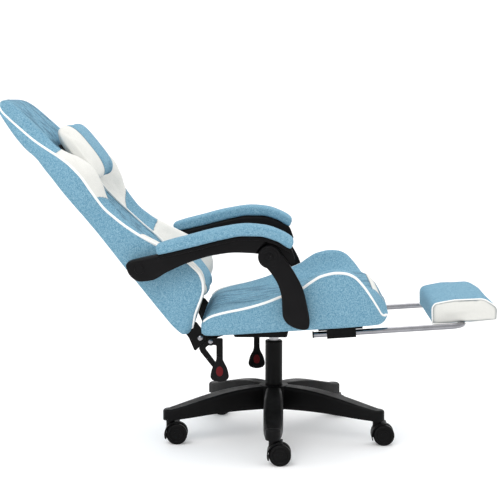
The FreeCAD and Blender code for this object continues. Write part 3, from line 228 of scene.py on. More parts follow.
# %% Thread map
def thread_map(piece, along, across=ACROSS):
    """UV in metres: a corner's place along the two directions of the plane that its face is
    nearest to. The largest share of a face's normal says which plane that is."""
    mesh = piece.data
    axes = np.array([along, across, np.cross(along, across)])
    normals = np.empty(len(mesh.polygons) * 3, np.float32)
    mesh.polygons.foreach_get("normal", normals)
    sides = np.empty(len(mesh.polygons), np.int32)
    mesh.polygons.foreach_get("loop_total", sides)
    corner = np.empty(len(mesh.loops), np.int32)
    mesh.loops.foreach_get("vertex_index", corner)
    facing = np.repeat(np.abs(normals.reshape(-1, 3) @ axes.T).argmax(1), sides)
    flat = corners_of(piece)[corner] @ axes.T
    pick = np.array([[1, 2], [0, 2], [0, 1]])[facing]
    layer = mesh.uv_layers.new(name="threads")
    layer.data.foreach_set("uv", np.take_along_axis(flat, pick, 1).astype(np.float32).ravel())


# %% [markdown]
# ## Shader building blocks
# Several finishes share the same effects, so each effect is one node group with named
# sockets. A group gives only things that change over the surface, such as a colour, a height
# or a mask. The shader itself, and every number that is the same all over, stays in the
# material.

# %% Node helpers
def plug(tree, socket, value):
    """Links value if it is another node's socket, and otherwise writes it as the default."""
    if isinstance(value, bpy.types.NodeSocket):
        tree.links.new(value, socket)
    else:
        socket.default_value = value


def node(tree, kind, inputs=None, **settings):
    """A new node with its settings and its inputs, which are given by name or number."""
    made = tree.nodes.new(kind)
    for key, value in settings.items():
        setattr(made, key, value)
    for key, value in (inputs or {}).items():
        plug(tree, made.inputs[key], value)
    return made


def maths(tree, operation, a, b=0.0, c=0.0):
    """One number worked out from up to three others."""
    made = node(tree, "ShaderNodeMath", {0: a, 1: b, 2: c}, operation=operation)
    return made.outputs[0]


def blend_colour(tree, share, a, b):
    """Colour a where share is 0 and colour b where it is 1."""
    made = node(tree, "ShaderNodeMix", {0: share, 6: a, 7: b}, data_type="RGBA")
    return made.outputs[2]


def blend_number(tree, share, a, b):
    """Number a where share is 0 and number b where it is 1."""
    made = node(tree, "ShaderNodeMix", {0: share, 2: a, 3: b})
    return made.outputs[0]


def ramp(tree, value, low, high, start=0.0, end=1.0):
    """start where value is low, end where it is high, with a soft step between."""
    inputs = {"Value": value, "From Min": low, "From Max": high, "To Min": start, "To Max": end}
    return node(tree, "ShaderNodeMapRange", inputs, interpolation_type="SMOOTHSTEP").outputs[0]


def noise(tree, place, scale, detail=2.0, roughness=0.5):
    """Cloudy noise between 0 and 1, with scale clouds in a metre."""
    inputs = {"Vector": place, "Scale": scale, "Detail": detail, "Roughness": roughness}
    return node(tree, "ShaderNodeTexNoise", inputs).outputs[0]


def group(name, ins, outs):
    """An empty node group with named sockets, its entry and its exit."""
    tree = bpy.data.node_groups.new(name, "ShaderNodeTree")
    for label, kind in ins:
        tree.interface.new_socket(label, in_out="INPUT", socket_type="NodeSocket" + kind)
    for label, kind in outs:
        tree.interface.new_socket(label, in_out="OUTPUT", socket_type="NodeSocket" + kind)
    return tree, tree.nodes.new("NodeGroupInput").outputs, tree.nodes.new("NodeGroupOutput").inputs


def place_group(tree, which, inputs):
    """A copy of a node group placed in a material, with its inputs set."""
    return node(tree, "ShaderNodeGroup", inputs, node_tree=which).outputs


# %% [markdown]
# ### Heathered cloth
# The cover is a plain weave of yarns dyed light, middle and dark blue, so that from a few
# steps away it looks speckled. Two sine waves give the over-and-under of the threads. Noise
# that is stretched along each thread picks the yarn's shade, and a coarser noise groups the
# shades into the flecks that show at arm's length.

# %% Heathered weave group
weave, enter, leave = group(
    "heathered_weave",
    [("Threads", "Vector"), ("Place", "Vector"), ("Pitch", "Float"), ("Light", "Color"),
     ("Middle", "Color"), ("Dark", "Color")],
    [("Color", "Color"), ("Height", "Float")],
)
HALF_TURN = 3.14159
turns = maths(weave, "DIVIDE", HALF_TURN, enter["Pitch"])
split = node(weave, "ShaderNodeSeparateXYZ", {0: enter["Threads"]}).outputs
warp = maths(weave, "SINE", maths(weave, "MULTIPLY", split[0], turns))
weft = maths(weave, "SINE", maths(weave, "MULTIPLY", split[1], turns))
over = maths(weave, "GREATER_THAN", maths(weave, "MULTIPLY", warp, weft), 0.0)
height = blend_number(weave, over, maths(weave, "ABSOLUTE", warp), maths(weave, "ABSOLUTE", weft))
plug(weave, leave["Height"], height)
streaks = []
ALONG_WEFT, ALONG_WARP = (900.0, 110.0, 1.0), (110.0, 900.0, 1.0)
for stretch in (ALONG_WEFT, ALONG_WARP):
    drawn = node(weave, "ShaderNodeMapping", {"Vector": enter["Threads"], "Scale": stretch})
    streaks.append(noise(weave, drawn.outputs[0], 1.0, 1.0))
yarn = blend_number(weave, over, streaks[0], streaks[1])
fleck = noise(weave, enter["Place"], 330.0, 3.0, 0.62)
yarn_part = maths(weave, "MULTIPLY", yarn, 0.45)
shade = maths(weave, "ADD", yarn_part, maths(weave, "MULTIPLY", fleck, 0.55))
tint = blend_colour(weave, ramp(weave, shade, 0.40, 0.50), enter["Dark"], enter["Middle"])
tint = blend_colour(weave, ramp(weave, shade, 0.51, 0.60), tint, enter["Light"])
# Painted shade: where the threads dip low between crossings, the colour is pulled towards the dark
# yarn
painted_gap_shade = ramp(weave, height, 0.35, 0.0, 0.0, 0.35)
plug(weave, leave["Color"], blend_colour(weave, painted_gap_shade, tint, enter["Dark"]))
print("weave nodes:", len(weave.nodes))

# %% [markdown]
# ### Leather, stuffing, seams, moulding and dust
# Leather is cells of skin with creases between them. A stuffed cover also has broad shallow
# dents, and a seam pulls the cover in along a line, whose distance from each point is stored
# on the mesh. Moulded nylon has an etched grain, and dust settles on what faces up.

# %% Leather hide group
# A hide is cells with sunken edges. The lookup place is bent a little, so no edge is straight
hide, enter, leave = group(
    "leather_hide",
    [("Place", "Vector"), ("Scale", "Float"), ("Face", "Color"), ("Crease_Shade", "Color")],
    [("Color", "Color"), ("Height", "Float"), ("Roughness", "Float")],
)
bent = noise(hide, enter["Place"], 300.0, 2.0)
shift = maths(hide, "MULTIPLY", bent, 0.0012)
moved = node(hide, "ShaderNodeVectorMath", {0: enter["Place"], 1: shift}, operation="ADD")
cells = node(hide, "ShaderNodeTexVoronoi", {"Vector": moved.outputs[0], "Scale": enter["Scale"]},
             feature="DISTANCE_TO_EDGE")
raised = ramp(hide, cells.outputs["Distance"], 0.0, 0.16)
cloudy = noise(hide, enter["Place"], 14.0, 3.0)
plug(hide, leave["Height"], raised)
# Painted shade: the sunken cell edges take up to half of the crease colour; the cloudy noise adds
# real uneven tone
crease = maths(hide, "MULTIPLY", maths(hide, "SUBTRACT", 1.0, raised), 0.5)
crease = maths(hide, "ADD", crease, ramp(hide, cloudy, 0.55, 0.8, 0.0, 0.25))
plug(hide, leave["Color"], blend_colour(hide, crease, enter["Face"], enter["Crease_Shade"]))
plug(hide, leave["Roughness"], ramp(hide, cloudy, 0.3, 0.7, 0.42, 0.56))

# %% Stuffing and seam groups
stuffing, enter, leave = group("stuffing_dents", [("Place", "Vector"), ("Size", "Float")],
                               [("Height", "Float")])
scale = maths(stuffing, "DIVIDE", 1.0, enter["Size"])
broad = noise(stuffing, enter["Place"], scale, 2.0, 0.45)
fine = noise(stuffing, enter["Place"], maths(stuffing, "MULTIPLY", scale, 3.1), 1.0)
plug(stuffing, leave["Height"],
     maths(stuffing, "ADD", broad, maths(stuffing, "MULTIPLY", fine, 0.35)))

seam, enter, leave = group("sewn_line", [("Distance", "Float"), ("Width", "Float")],
                           [("Mask", "Float")])
away = maths(seam, "DIVIDE", maths(seam, "ABSOLUTE", enter["Distance"]), enter["Width"])
plug(seam, leave["Mask"], ramp(seam, away, 0.0, 1.0, 1.0, 0.0))

# %% Moulded grain and dust groups
moulded, enter, leave = group("moulded_grain", [("Place", "Vector"), ("Scale", "Float")],
                              [("Height", "Float"), ("Roughness", "Float")])
pits = node(moulded, "ShaderNodeTexVoronoi", {"Vector": enter["Place"], "Scale": enter["Scale"]})
grit = noise(moulded, enter["Place"], 1900.0)
plug(moulded, leave["Height"], maths(moulded, "ADD", pits.outputs["Distance"], grit))
flow = noise(moulded, enter["Place"], 22.0, 4.0)
plug(moulded, leave["Roughness"], ramp(moulded, flow, 0.3, 0.7, 0.36, 0.50))

dust, enter, leave = group("settled_dust", [("Place", "Vector"), ("Amount", "Float")],
                           [("Mask", "Float")])
facing = node(dust, "ShaderNodeNewGeometry").outputs["Normal"]
upward = ramp(dust, node(dust, "ShaderNodeSeparateXYZ", {0: facing}).outputs[2], 0.2, 1.0)
patchy = ramp(dust, noise(dust, enter["Place"], 60.0, 5.0, 0.65), 0.35, 0.75)
lying = maths(dust, "MULTIPLY", upward, patchy)
plug(dust, leave["Mask"], maths(dust, "MULTIPLY", lying, enter["Amount"]))
print("node groups:", len(bpy.data.node_groups))

# %% [markdown]
# ## The finishes
# Each material is a Principled shader fed by the groups above. Heights are in metres, so a
# thread is a quarter of a millimetre high and a seam sinks a bit over one millimetre, and the
# sunken seam is darkened with painted shadow. One cover material could be split into a cloth
# and a leather, with the faces shared out between them, but then each border would follow the
# mesh in steps. Here a stored distance picks the side, so the border is sharp. Small wrinkles
# in the pleated middle are streaks of noise, which sink the cover and darken it with painted
# shade.

# %% Colours of the cover
LIGHT_BLUE = (0.290, 0.465, 0.570, 1)
MIDDLE_BLUE = (0.165, 0.340, 0.455, 1)
DARK_BLUE = (0.085, 0.225, 0.335, 1)
LEATHER = (0.70, 0.70, 0.665, 1)
# Painted shade for the leather's creases
LEATHER_CREASE_SHADE = (0.54, 0.53, 0.50, 1)
# Painted shade inside the pleats' creases
PAINTED_PLEAT_SHADE = (0.045, 0.10, 0.15, 1)
# Painted shadow in the sunken seam lines
PAINTED_SEAM_SHADOW = (0.03, 0.07, 0.10, 1)
DUST_GREY = (0.06, 0.06, 0.06, 1)


# %% Starting a material
def start_material(name):
    """A new material: its tree, its shader and the object coordinates."""
    made = bpy.data.materials.new(name)
    made.use_nodes = True
    tree = made.node_tree
    place = node(tree, "ShaderNodeTexCoord").outputs["Object"]
    return made, tree, tree.nodes["Principled BSDF"], place


def bump(tree, shader, height):
    """Tips the shader's normal by a height in metres."""
    made = node(tree, "ShaderNodeBump", {"Height": height, "Strength": 1.0, "Distance": 1.0})
    plug(tree, shader.inputs["Normal"], made.outputs[0])


# %% Cloth and leather in one cover
def cover_material(name, dents):
    """Blue cloth where the stored distance from the leather is below zero, and leather above it."""
    made, tree, shader, place = start_material(name)
    threads = node(tree, "ShaderNodeUVMap", uv_map="threads").outputs[0]
    yarns = {"Light": LIGHT_BLUE, "Middle": MIDDLE_BLUE, "Dark": DARK_BLUE}
    cloth = place_group(tree, weave, {"Threads": threads, "Place": place, "Pitch": 0.0011, **yarns})
    skin_side = place_group(tree, hide, {"Place": place, "Scale": 620.0, "Face": LEATHER,
                                         "Crease_Shade": LEATHER_CREASE_SHADE})
    edge = node(tree, "ShaderNodeAttribute", attribute_name="leather_side").outputs["Fac"]
    stitch = node(tree, "ShaderNodeAttribute", attribute_name="seam_distance").outputs["Fac"]
    leather = ramp(tree, edge, -0.0006, 0.0006)
    line = place_group(tree, seam, {"Distance": stitch, "Width": 0.0035})[0]
    along_pleats = {"Vector": place, "Scale": (13.0, 95.0, 40.0)}
    drawn = node(tree, "ShaderNodeMapping", along_pleats).outputs[0]
    pleated = node(tree, "ShaderNodeAttribute", attribute_name="pleated").outputs["Fac"]
    pleat = maths(tree, "MULTIPLY", ramp(tree, noise(tree, drawn, 1.0, 2.0), 0.46, 0.62), pleated)
    # Painted shade: the pleat streaks darken the blue cloth, besides sinking it in the bump below
    blue = blend_colour(tree, maths(tree, "MULTIPLY", pleat, 0.5), cloth["Color"], PAINTED_PLEAT_SHADE)
    colour = blend_colour(tree, leather, blue, skin_side["Color"])
    # Painted shadow: the sunken seam lines are darkened towards a deep blue
    colour = blend_colour(tree, maths(tree, "MULTIPLY", line, 0.6), colour, PAINTED_SEAM_SHADOW)
    plug(tree, shader.inputs["Base Color"], colour)
    gloss = blend_number(tree, leather, 0.9, skin_side["Roughness"])
    plug(tree, shader.inputs["Roughness"], gloss)
    shader.inputs["Specular IOR Level"].default_value = 0.3
    fluff = place_group(tree, stuffing, {"Place": place, "Size": 0.055})[0]
    thread = blend_number(tree, leather, maths(tree, "MULTIPLY", cloth["Height"], 0.00022),
                          maths(tree, "MULTIPLY", skin_side["Height"], 0.00008))
    total = maths(tree, "MULTIPLY_ADD", fluff, dents, thread)
    total = maths(tree, "MULTIPLY_ADD", pleat, -0.0012, total)
    bump(tree, shader, maths(tree, "MULTIPLY_ADD", line, -0.0012, total))
    return made


bucket_cover = cover_material("bucket_cover", dents=0.0035)
pillow_cover = cover_material("pillow_cover", dents=0.0025)

# %% [markdown]
# ### Piping, elastic and black cloth
# Piping is thin white leather, so it uses the same hide with finer cells. The elastic and the
# cloth under the seat use the cover's weave in near-black yarns. New groups could be drawn
# for each, but the real materials differ only in scale and dye.

# %% Piping, elastic and black cloth
def hide_material(name, face, crease, scale):
    """Plain leather: the hide group's colour, with painted shade in its creases, and gloss, and
    creases 0.06 mm deep.
    """
    made, tree, shader, place = start_material(name)
    parts = place_group(tree, hide, {"Place": place, "Scale": scale, "Face": face,
                                     "Crease_Shade": crease})
    plug(tree, shader.inputs["Base Color"], parts["Color"])
    plug(tree, shader.inputs["Roughness"], parts["Roughness"])
    bump(tree, shader, maths(tree, "MULTIPLY", parts["Height"], 0.00006))
    return made


# The second colour is painted shade for the creases between the hide's cells
white_piping = hide_material("white_piping", (0.90, 0.90, 0.88, 1), (0.70, 0.70, 0.67, 1), 900.0)


def black_cloth_material(name, pitch):
    """Black woven tape: the same weave as the cover, in three near-black yarns."""
    made, tree, shader, place = start_material(name)
    threads = node(tree, "ShaderNodeUVMap", uv_map="threads").outputs[0]
    yarns = {"Light": (0.035, 0.035, 0.038, 1), "Middle": (0.018, 0.018, 0.02, 1),
             "Dark": (0.006, 0.006, 0.007, 1)}
    cloth = place_group(tree, weave, {"Threads": threads, "Place": place, "Pitch": pitch, **yarns})
    plug(tree, shader.inputs["Base Color"], cloth["Color"])
    shader.inputs["Roughness"].default_value = 0.85
    bump(tree, shader, maths(tree, "MULTIPLY", cloth["Height"], 0.0003))
    return made


elastic = black_cloth_material("elastic_tape", 0.0016)
lining = black_cloth_material("lining_cloth", 0.0008)

# %% [markdown]
# ### Nylon and metal
# The arms, base and wheels are glass-filled nylon: nearly black, with an etched grain that
# scatters the light. The plates are powder-coated steel, and the footrest's tube is chromed.
# A flat black would lose every edge, so gloss and height vary a little over each surface.

# %% Nylon and other plastics
def nylon_material(name, colour, scale, depth, dusty):
    """Moulded plastic: etched grain in the height and the gloss, and a little dust on top."""
    made, tree, shader, place = start_material(name)
    grain = place_group(tree, moulded, {"Place": place, "Scale": scale})
    settled = place_group(tree, dust, {"Place": place, "Amount": dusty})[0]
    cloud = noise(tree, place, 9.0, 3.0)
    paler = tuple(c * 1.35 for c in colour[:3]) + (1,)
    tone = blend_colour(tree, ramp(tree, cloud, 0.35, 0.7), colour, paler)
    plug(tree, shader.inputs["Base Color"], blend_colour(tree, settled, tone, DUST_GREY))
    gloss = maths(tree, "MULTIPLY_ADD", settled, 0.3, grain["Roughness"])
    plug(tree, shader.inputs["Roughness"], gloss)
    shader.inputs["Specular IOR Level"].default_value = 0.09
    bump(tree, shader, maths(tree, "MULTIPLY", grain["Height"], depth))
    return made


arm_nylon = nylon_material("arm_nylon", (0.0038, 0.0036, 0.0040, 1), scale=800.0,
                           depth=0.00005, dusty=0.10)
base_nylon = nylon_material("base_nylon", (0.0028, 0.0028, 0.0030, 1), scale=1000.0,
                            depth=0.00006, dusty=0.14)
wheel_nylon = nylon_material("wheel_nylon", (0.0030, 0.0030, 0.0031, 1), scale=1400.0,
                             depth=0.00003, dusty=0.20)
red_inlay = nylon_material("red_inlay", (0.085, 0.006, 0.008, 1), scale=1500.0,
                           depth=0.00002, dusty=0.0)

# %% Metals
def metal_material(name, colour, rough, brushed, metallic=1.0, shine=0.5):
    """Bare or painted metal: fine lines drawn across the gloss, and faint smudges."""
    made, tree, shader, place = start_material(name)
    brush = {"Vector": place, "Scale": (60.0, 60.0, 900.0)}
    drawn = node(tree, "ShaderNodeMapping", brush).outputs[0]
    lines = noise(tree, drawn, 1.0, 2.0)
    smudge = noise(tree, place, 25.0, 4.0, 0.6)
    gloss = maths(tree, "MULTIPLY_ADD", lines, brushed, rough - brushed / 2)
    matt = ramp(tree, smudge, 0.45, 0.8, 0.0, 0.08)
    plug(tree, shader.inputs["Roughness"], maths(tree, "ADD", gloss, matt))
    worn = tuple(c * 0.8 for c in colour[:3]) + (1,)
    spots = ramp(tree, smudge, 0.3, 0.75)
    plug(tree, shader.inputs["Base Color"], blend_colour(tree, spots, colour, worn))
    shader.inputs["Metallic"].default_value = metallic
    shader.inputs["Specular IOR Level"].default_value = shine
    bump(tree, shader, maths(tree, "MULTIPLY", lines, 0.000012))
    return made


chrome = metal_material("chrome_tube", (0.30, 0.30, 0.32, 1), rough=0.12, brushed=0.05)
steel = metal_material("brushed_steel", (0.36, 0.36, 0.37, 1), rough=0.30, brushed=0.2)
painted = metal_material("painted_steel", (0.0030, 0.0030, 0.0033, 1), rough=0.38,
                         brushed=0.08, metallic=0.0, shine=0.09)
# The footrest's plywood board has grain lines instead of brush marks, and no metal in it
board_wood = metal_material("board_wood", (0.33, 0.22, 0.12, 1), rough=0.7, brushed=0.1,
                            metallic=0.0)
print("finishes:", [made.name for made in bpy.data.materials])

# %% [markdown]
# ### Handing a piece over
# A new piece needs a finish and a body to move with, and the CAD parts that it stands for must
# be hidden. One helper does all of it, so that no piece is left behind when the chair moves.

# %% Finishing helper
def dress(piece, body, material, *stands_for, slot=None):
    """Gives a piece its material and the body it moves with, and hides the CAD nodes it stands for.
    """
    piece.data.materials.clear()
    piece.data.materials.append(material)
    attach(piece, body)
    if stands_for:
        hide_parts(*stands_for)
    return piece


# %% [markdown]
# ## Bucket cushions
# Seat and backrest are both bucket shapes: a channelled panel in the middle, a wing on each
# side, a piped edge where wing and side panel meet, and a plain back. They could be sculpted
# by hand, but a table of cross-sections keeps them true to the CAD model. One function reads
# the table at any place along the cushion and gives the closed outline there.

# %% Cross-section tables
# Share of the length, share of the half width, and then in millimetres the heights of the
# rear face, the piped edge, the crest and the centre
SEAT_TABLE = np.array([
    (0, 0.92, -1, 24, 24, 19), (0.02, 0.965, -5, 35, 36, 34),
    (0.055, 0.988, -6, 46, 48, 49), (0.117, 1, -6, 54, 58, 58),
    (0.246, 1, -6, 64, 70, 63), (0.343, 1, -6, 75, 82, 67),
    (0.429, 1, -6, 89, 96, 71), (0.552, 1, -6, 110, 117, 77),
    (0.596, 1, -6, 124, 131, 79), (0.655, 1, -6, 139, 146, 83),
    (0.731, 1, -6, 145, 152, 86), (0.78, 0.996, -6, 142, 149, 88),
    (0.825, 0.988, -6, 131, 138, 89), (0.869, 0.976, -6, 105, 112, 89),
    (0.91, 0.961, -6, 70, 80, 86), (0.943, 0.933, -6, 38, 50, 78),
    (0.969, 0.902, -1, 16, 26, 62), (0.99, 0.82, 8, 15, 21, 44),
    (1, 0.75, 18, 21, 24, 30)])
BACK_TABLE = np.array([
    (0, 0.8, -24, -8, -7, -11), (0.0122, 0.86, -31, 6, 8, 2),
    (0.0401, 0.9, -34, 34, 38, 22), (0.065, 0.92, -35, 68, 73, 33),
    (0.0813, 0.931, -35, 89, 94, 38), (0.1082, 0.935, -35, 106, 112, 40),
    (0.1398, 0.939, -35, 114, 120, 40), (0.1811, 0.939, -35, 110, 117, 40),
    (0.2982, 0.939, -35, 71, 78, 34), (0.3798, 0.92, -35, 44, 50, 22),
    (0.4489, 0.91, -35, 28, 40, 13), (0.5065, 0.931, -35, 21, 41, 6),
    (0.5708, 0.977, -35, 25, 58, 0), (0.6255, 1, -35, 29, 66, -2),
    (0.6745, 0.985, -35, 25, 56, -2), (0.7226, 0.916, -38, 13, 34, 4),
    (0.7652, 0.81, -42, -3, 18, 10), (0.826, 0.71, -54, -22, 8, 8),
    (0.8808, 0.656, -57, -33, 1, 2), (0.9355, 0.603, -56, -43, -6, -6),
    (0.972, 0.55, -54, -48, -14, -13), (0.9915, 0.5, -48, -46, -24, -23),
    (1, 0.44, -42, -41, -34, -33)])

SEAT = {"table": SEAT_TABLE, "length": 0.513, "start": 0.0, "half": 0.255, "centre": 0.150}
BACK = {"table": BACK_TABLE, "length": 0.822, "start": 0.031, "half": 0.262, "centre": 0.130}
print("cross-sections:", len(SEAT_TABLE), len(BACK_TABLE))

# %% One bucket outline
SIDE_BULGE = 0.04
GROOVE_DEPTH = 0.0065
COUNTS = (49, 28, 18, 22)
PARTS = np.repeat([0, 1, 2, 3], COUNTS)


def bucket_section(shape, share, channels, crown):
    """Half outlines from the middle of the front round to the middle of the back, as (y, out).
    Centre: level, less a groove of |sin| shape at each channel. Wing: curve from the centre's
    edge over the crest to the piping. Side: half sine bulge. Back: parabola of height crown."""
    table, half = shape["table"], shape["half"]
    values = smooth_through(share, table[:, 0], table[:, 1:])
    wide, under, piped, crest, centre = (c[:, None] / 1000 for c in values.T)
    edge = half * wide * 1000
    rim = edge - SIDE_BULGE * half
    inner = np.minimum(shape["centre"], edge * 0.8)
    t = np.linspace(0, 1, COUNTS[0])[None]
    y_mid = inner * t
    fade = np.clip(np.sin(np.pi * np.clip(share, 0, 1))[:, None] * 3, 0, 1)
    groove = 1 - np.abs(np.sin(np.pi * channels * t)) ** 0.55
    out_mid = centre + 0.003 * (1 - t * t) - GROOVE_DEPTH * fade * groove
    t = np.linspace(0, 1, COUNTS[1] + 1)[None, 1:]
    rise = smooth_through(t[0], [0, 0.36, 0.70, 0.89, 1],
                          [[0, 0], [0.45, 0], [1, 0], [0.5, 0.5], [0, 1]])
    top = np.maximum(crest, piped)
    y_wing = inner + (rim - inner) * t
    out_wing = centre + (top - centre) * rise[:, 0] + (piped - centre) * rise[:, 1]
    t = np.linspace(0, 1, COUNTS[2] + 1)[None, 1:]
    y_side = rim + SIDE_BULGE * half * np.sin(np.pi * t) ** 0.6
    out_side = piped + (under - piped) * t
    t = np.linspace(0, 1, COUNTS[3] + 1)[None, 1:]
    y_rear = rim * (1 - t)
    out_rear = under - crown * (1 - (1 - t) ** 2) * fade
    y = np.concatenate([y_mid, y_wing, y_side, y_rear], 1)
    out = np.concatenate([out_mid, out_wing, out_side, out_rear + 0 * y_rear], 1)
    return y, out, inner, rim


# %% The whole cushion
def bucket(name, shape, channels, crown, put, rows):
    """Closed bucket cushion, and for each of its points the place along, the place across, the
    share of the wing and the part of the outline. The rows lie closer towards both ends, by a
    share of a cosine. Both ends close over rings that shrink to the middle."""
    even = np.linspace(0, 1, rows)
    share = 0.45 * even + 0.55 * (0.5 - 0.5 * np.cos(np.pi * even))
    y, out, inner, rim = bucket_section(shape, share, channels, crown)
    y = np.concatenate([y, -y[:, -2:0:-1]], 1)
    out = np.concatenate([out, out[:, -2:0:-1]], 1)
    part = np.concatenate([PARTS, PARTS[-2:0:-1]])
    up = np.repeat(shape["start"] + share[:, None] * shape["length"], y.shape[1], 1)
    wing = (np.abs(y) - inner) / (rim - inner)
    ends = []
    for row, sign in ((0, -1), (-1, 1)):
        middle = out[row].mean()
        for size in (0.90, 0.72, 0.45, 0.18):
            ends.append((up[row] + sign * 0.006 * (1 - size), y[row] * size,
                         middle + (out[row] - middle) * size, wing[row]))
    low, high = ends[:4][::-1], ends[4:]
    up, y, out, wing = (np.stack([e[i] for e in low] + list(rows_of) + [e[i] for e in high])
                        for i, rows_of in enumerate((up, y, out, wing)))
    parts = np.repeat(part[None], len(up), 0)
    return skin(name, put(up, y, out)), [a.ravel() for a in (up, y, wing, parts)]


# %% Distances to seams
SEAM_SPACING = 0.04
FAR = 0.02


def channel_distance(y):
    """Distance across to the nearest sewn channel: a triangle wave of y."""
    return np.abs((np.abs(y) + SEAM_SPACING / 2) % SEAM_SPACING - SEAM_SPACING / 2)


# %% [markdown]
# ### Backrest
# White leather covers the wings' inner faces beside the shoulders and at the waist, and the
# rest is blue. Which is which is one stored number for each point: its distance inside the
# nearest leather edge. The material turns that into a clean line finer than the mesh.

# %% Backrest cushion
back, (s, y, wing, part) = bucket(
    "backrest_cushion", BACK, channels=3.25, crown=0.004, put=on_back, rows=190)
on_wing = np.where(part == 1, 1.0, -1.0)
shoulder = np.minimum(s - (0.396 + 0.084 * wing), 0.640 - s)
waist = 0.300 + 0.030 * wing - s
leather_back = np.minimum(np.maximum(shoulder, waist), FAR * on_wing)
leather_back = np.where((part == 1) & (wing < 0.02), 0.0, leather_back)
middle_seam = np.minimum(BACK["centre"] - np.abs(y), channel_distance(y))
wing_seam = np.where(part == 1, np.minimum(np.abs(shoulder), np.abs(waist)), FAR)
mark(back, "leather_side", leather_back)
mark(back, "seam_distance", np.where(part == 0, middle_seam, wing_seam))
mark(back, "pleated", part == 0)
thread_map(back, BACK_UP)
dress(back, "back", bucket_cover, "back_cushion", slot="blue_fabric")
print("backrest faces:", len(back.data.polygons))

# %% [markdown]
# ### Seat
# The seat is made the same way, from its own table. Its leather is a band across the front of
# the middle, which runs on down both sides of a small blue panel.

# %% Seat cushion
seat, (s, y, wing, part) = bucket(
    "seat_bucket_cushion", SEAT, channels=3.75, crown=0.0, put=on_seat, rows=170)
top_part = (part < 2) & (wing < 0.93)
front_panel = np.minimum(0.140 - np.abs(y), s - 0.497)
middle_band = np.minimum(s - 0.476, -front_panel)
beside = np.where(top_part & (wing < 0.02), 0.0, -FAR)
leather_seat = np.where(part == 0, middle_band, beside)
mark(seat, "leather_side", leather_seat)
middle_seam = np.minimum(SEAT["centre"] - np.abs(y), channel_distance(y))
seat_seam = np.minimum(np.where(part == 0, middle_seam, FAR), np.abs(leather_seat))
mark(seat, "seam_distance", np.where(top_part, seat_seam, FAR))
mark(seat, "pleated", part == 0)
thread_map(seat, SEAT_ALONG)
dress(seat, "seat", bucket_cover, "seat_cushion", slot="blue_fabric")
print("seat faces:", len(seat.data.polygons))

# %% [markdown]
# ## Piping
# Piping is a cord sewn into a seam inside a folded strip of leather. It is a round profile
# carried along the seam's own points, so it always lies exactly on the edge it covers.

# %% Piping along a path
def piping(name, path, radius, count=160, loop=False):
    """Round profile carried along a path: circle of the given radius in the plane square to the
    path, with its first direction kept as near to +Y as it can be."""
    path = along_chain(path, count)
    ahead = np.gradient(path, axis=0)
    if loop:
        ahead[0] = ahead[-1] = path[1] - path[-2]
    ahead /= np.linalg.norm(ahead, axis=1)[:, None]
    side = np.cross(ahead, np.cross(ACROSS, ahead) + 1e-4 * ahead[:, [2, 0, 1]])
    side /= np.linalg.norm(side, axis=1)[:, None]
    other = np.cross(ahead, side)
    turn = np.linspace(0, 2 * np.pi, 13)[:-1]
    size = np.full(count, radius)
    if not loop:
        size[[0, -1]] = radius * 0.1
        size[[1, -2]] = radius * 0.8
    across, above = np.cos(turn)[None, :, None], np.sin(turn)[None, :, None]
    round_part = across * side[:, None] + above * other[:, None]
    return skin(name, path[:, None] + size[:, None, None] * round_part)


RIM_COLUMN = COUNTS[0] + COUNTS[1] - 1
INNER_COLUMN = COUNTS[0]


def edge_path(shape, put, first, last, column, lift=0.0):
    """Points of one seam of a bucket cushion between two shares of its length, on its +Y half:
    one column of its outlines, moved outwards and up by lift."""
    share = np.linspace(first, last, 60)
    y, out, _, _ = bucket_section(shape, share, channels=1, crown=0.0)
    return put(shape["start"] + share * shape["length"], y[:, column] + lift, out[:, column] + lift)


# %% Piping on both cushions
TOP_TAIL = on_back(np.array([0.855, 0.858, 0.858]), np.array([0.100, 0.060, 0.002]),
                   np.array([-0.041, -0.038, -0.037]))
for sign, side in SIDES:
    flip = np.array([1, sign, 1])
    line = edge_path(BACK, on_back, 0.004, 0.990, RIM_COLUMN)
    over_the_top = np.vstack([line, TOP_TAIL]) * flip
    made = piping(f"backrest_piping_{side}", over_the_top, 0.0040, 220)
    dress(made, "back", white_piping, slot="white_leather")
    line = edge_path(BACK, on_back, 0.20, 0.72, INNER_COLUMN, lift=0.001)
    made = piping(f"backrest_inner_piping_{side}", line * flip, 0.0028)
    dress(made, "back", white_piping, slot="white_leather")
    line = edge_path(SEAT, on_seat, 0.012, 0.992, RIM_COLUMN)
    made = piping(f"seat_piping_{side}", line * flip, 0.0038, 200)
    dress(made, "seat", white_piping, slot="white_leather")

# %% [markdown]
# ## Stuffed pieces
# Pillows and pads are made fat with a cloth simulation: a slightly small shape gets an even
# mesh, and air pressure swells it for twenty frames, which gives the cover the loose creases
# that sewing alone can't. Each point may move only so far, so the piece stays in its room.

# %% Swelling by simulation
SWELL_FRAMES = 20


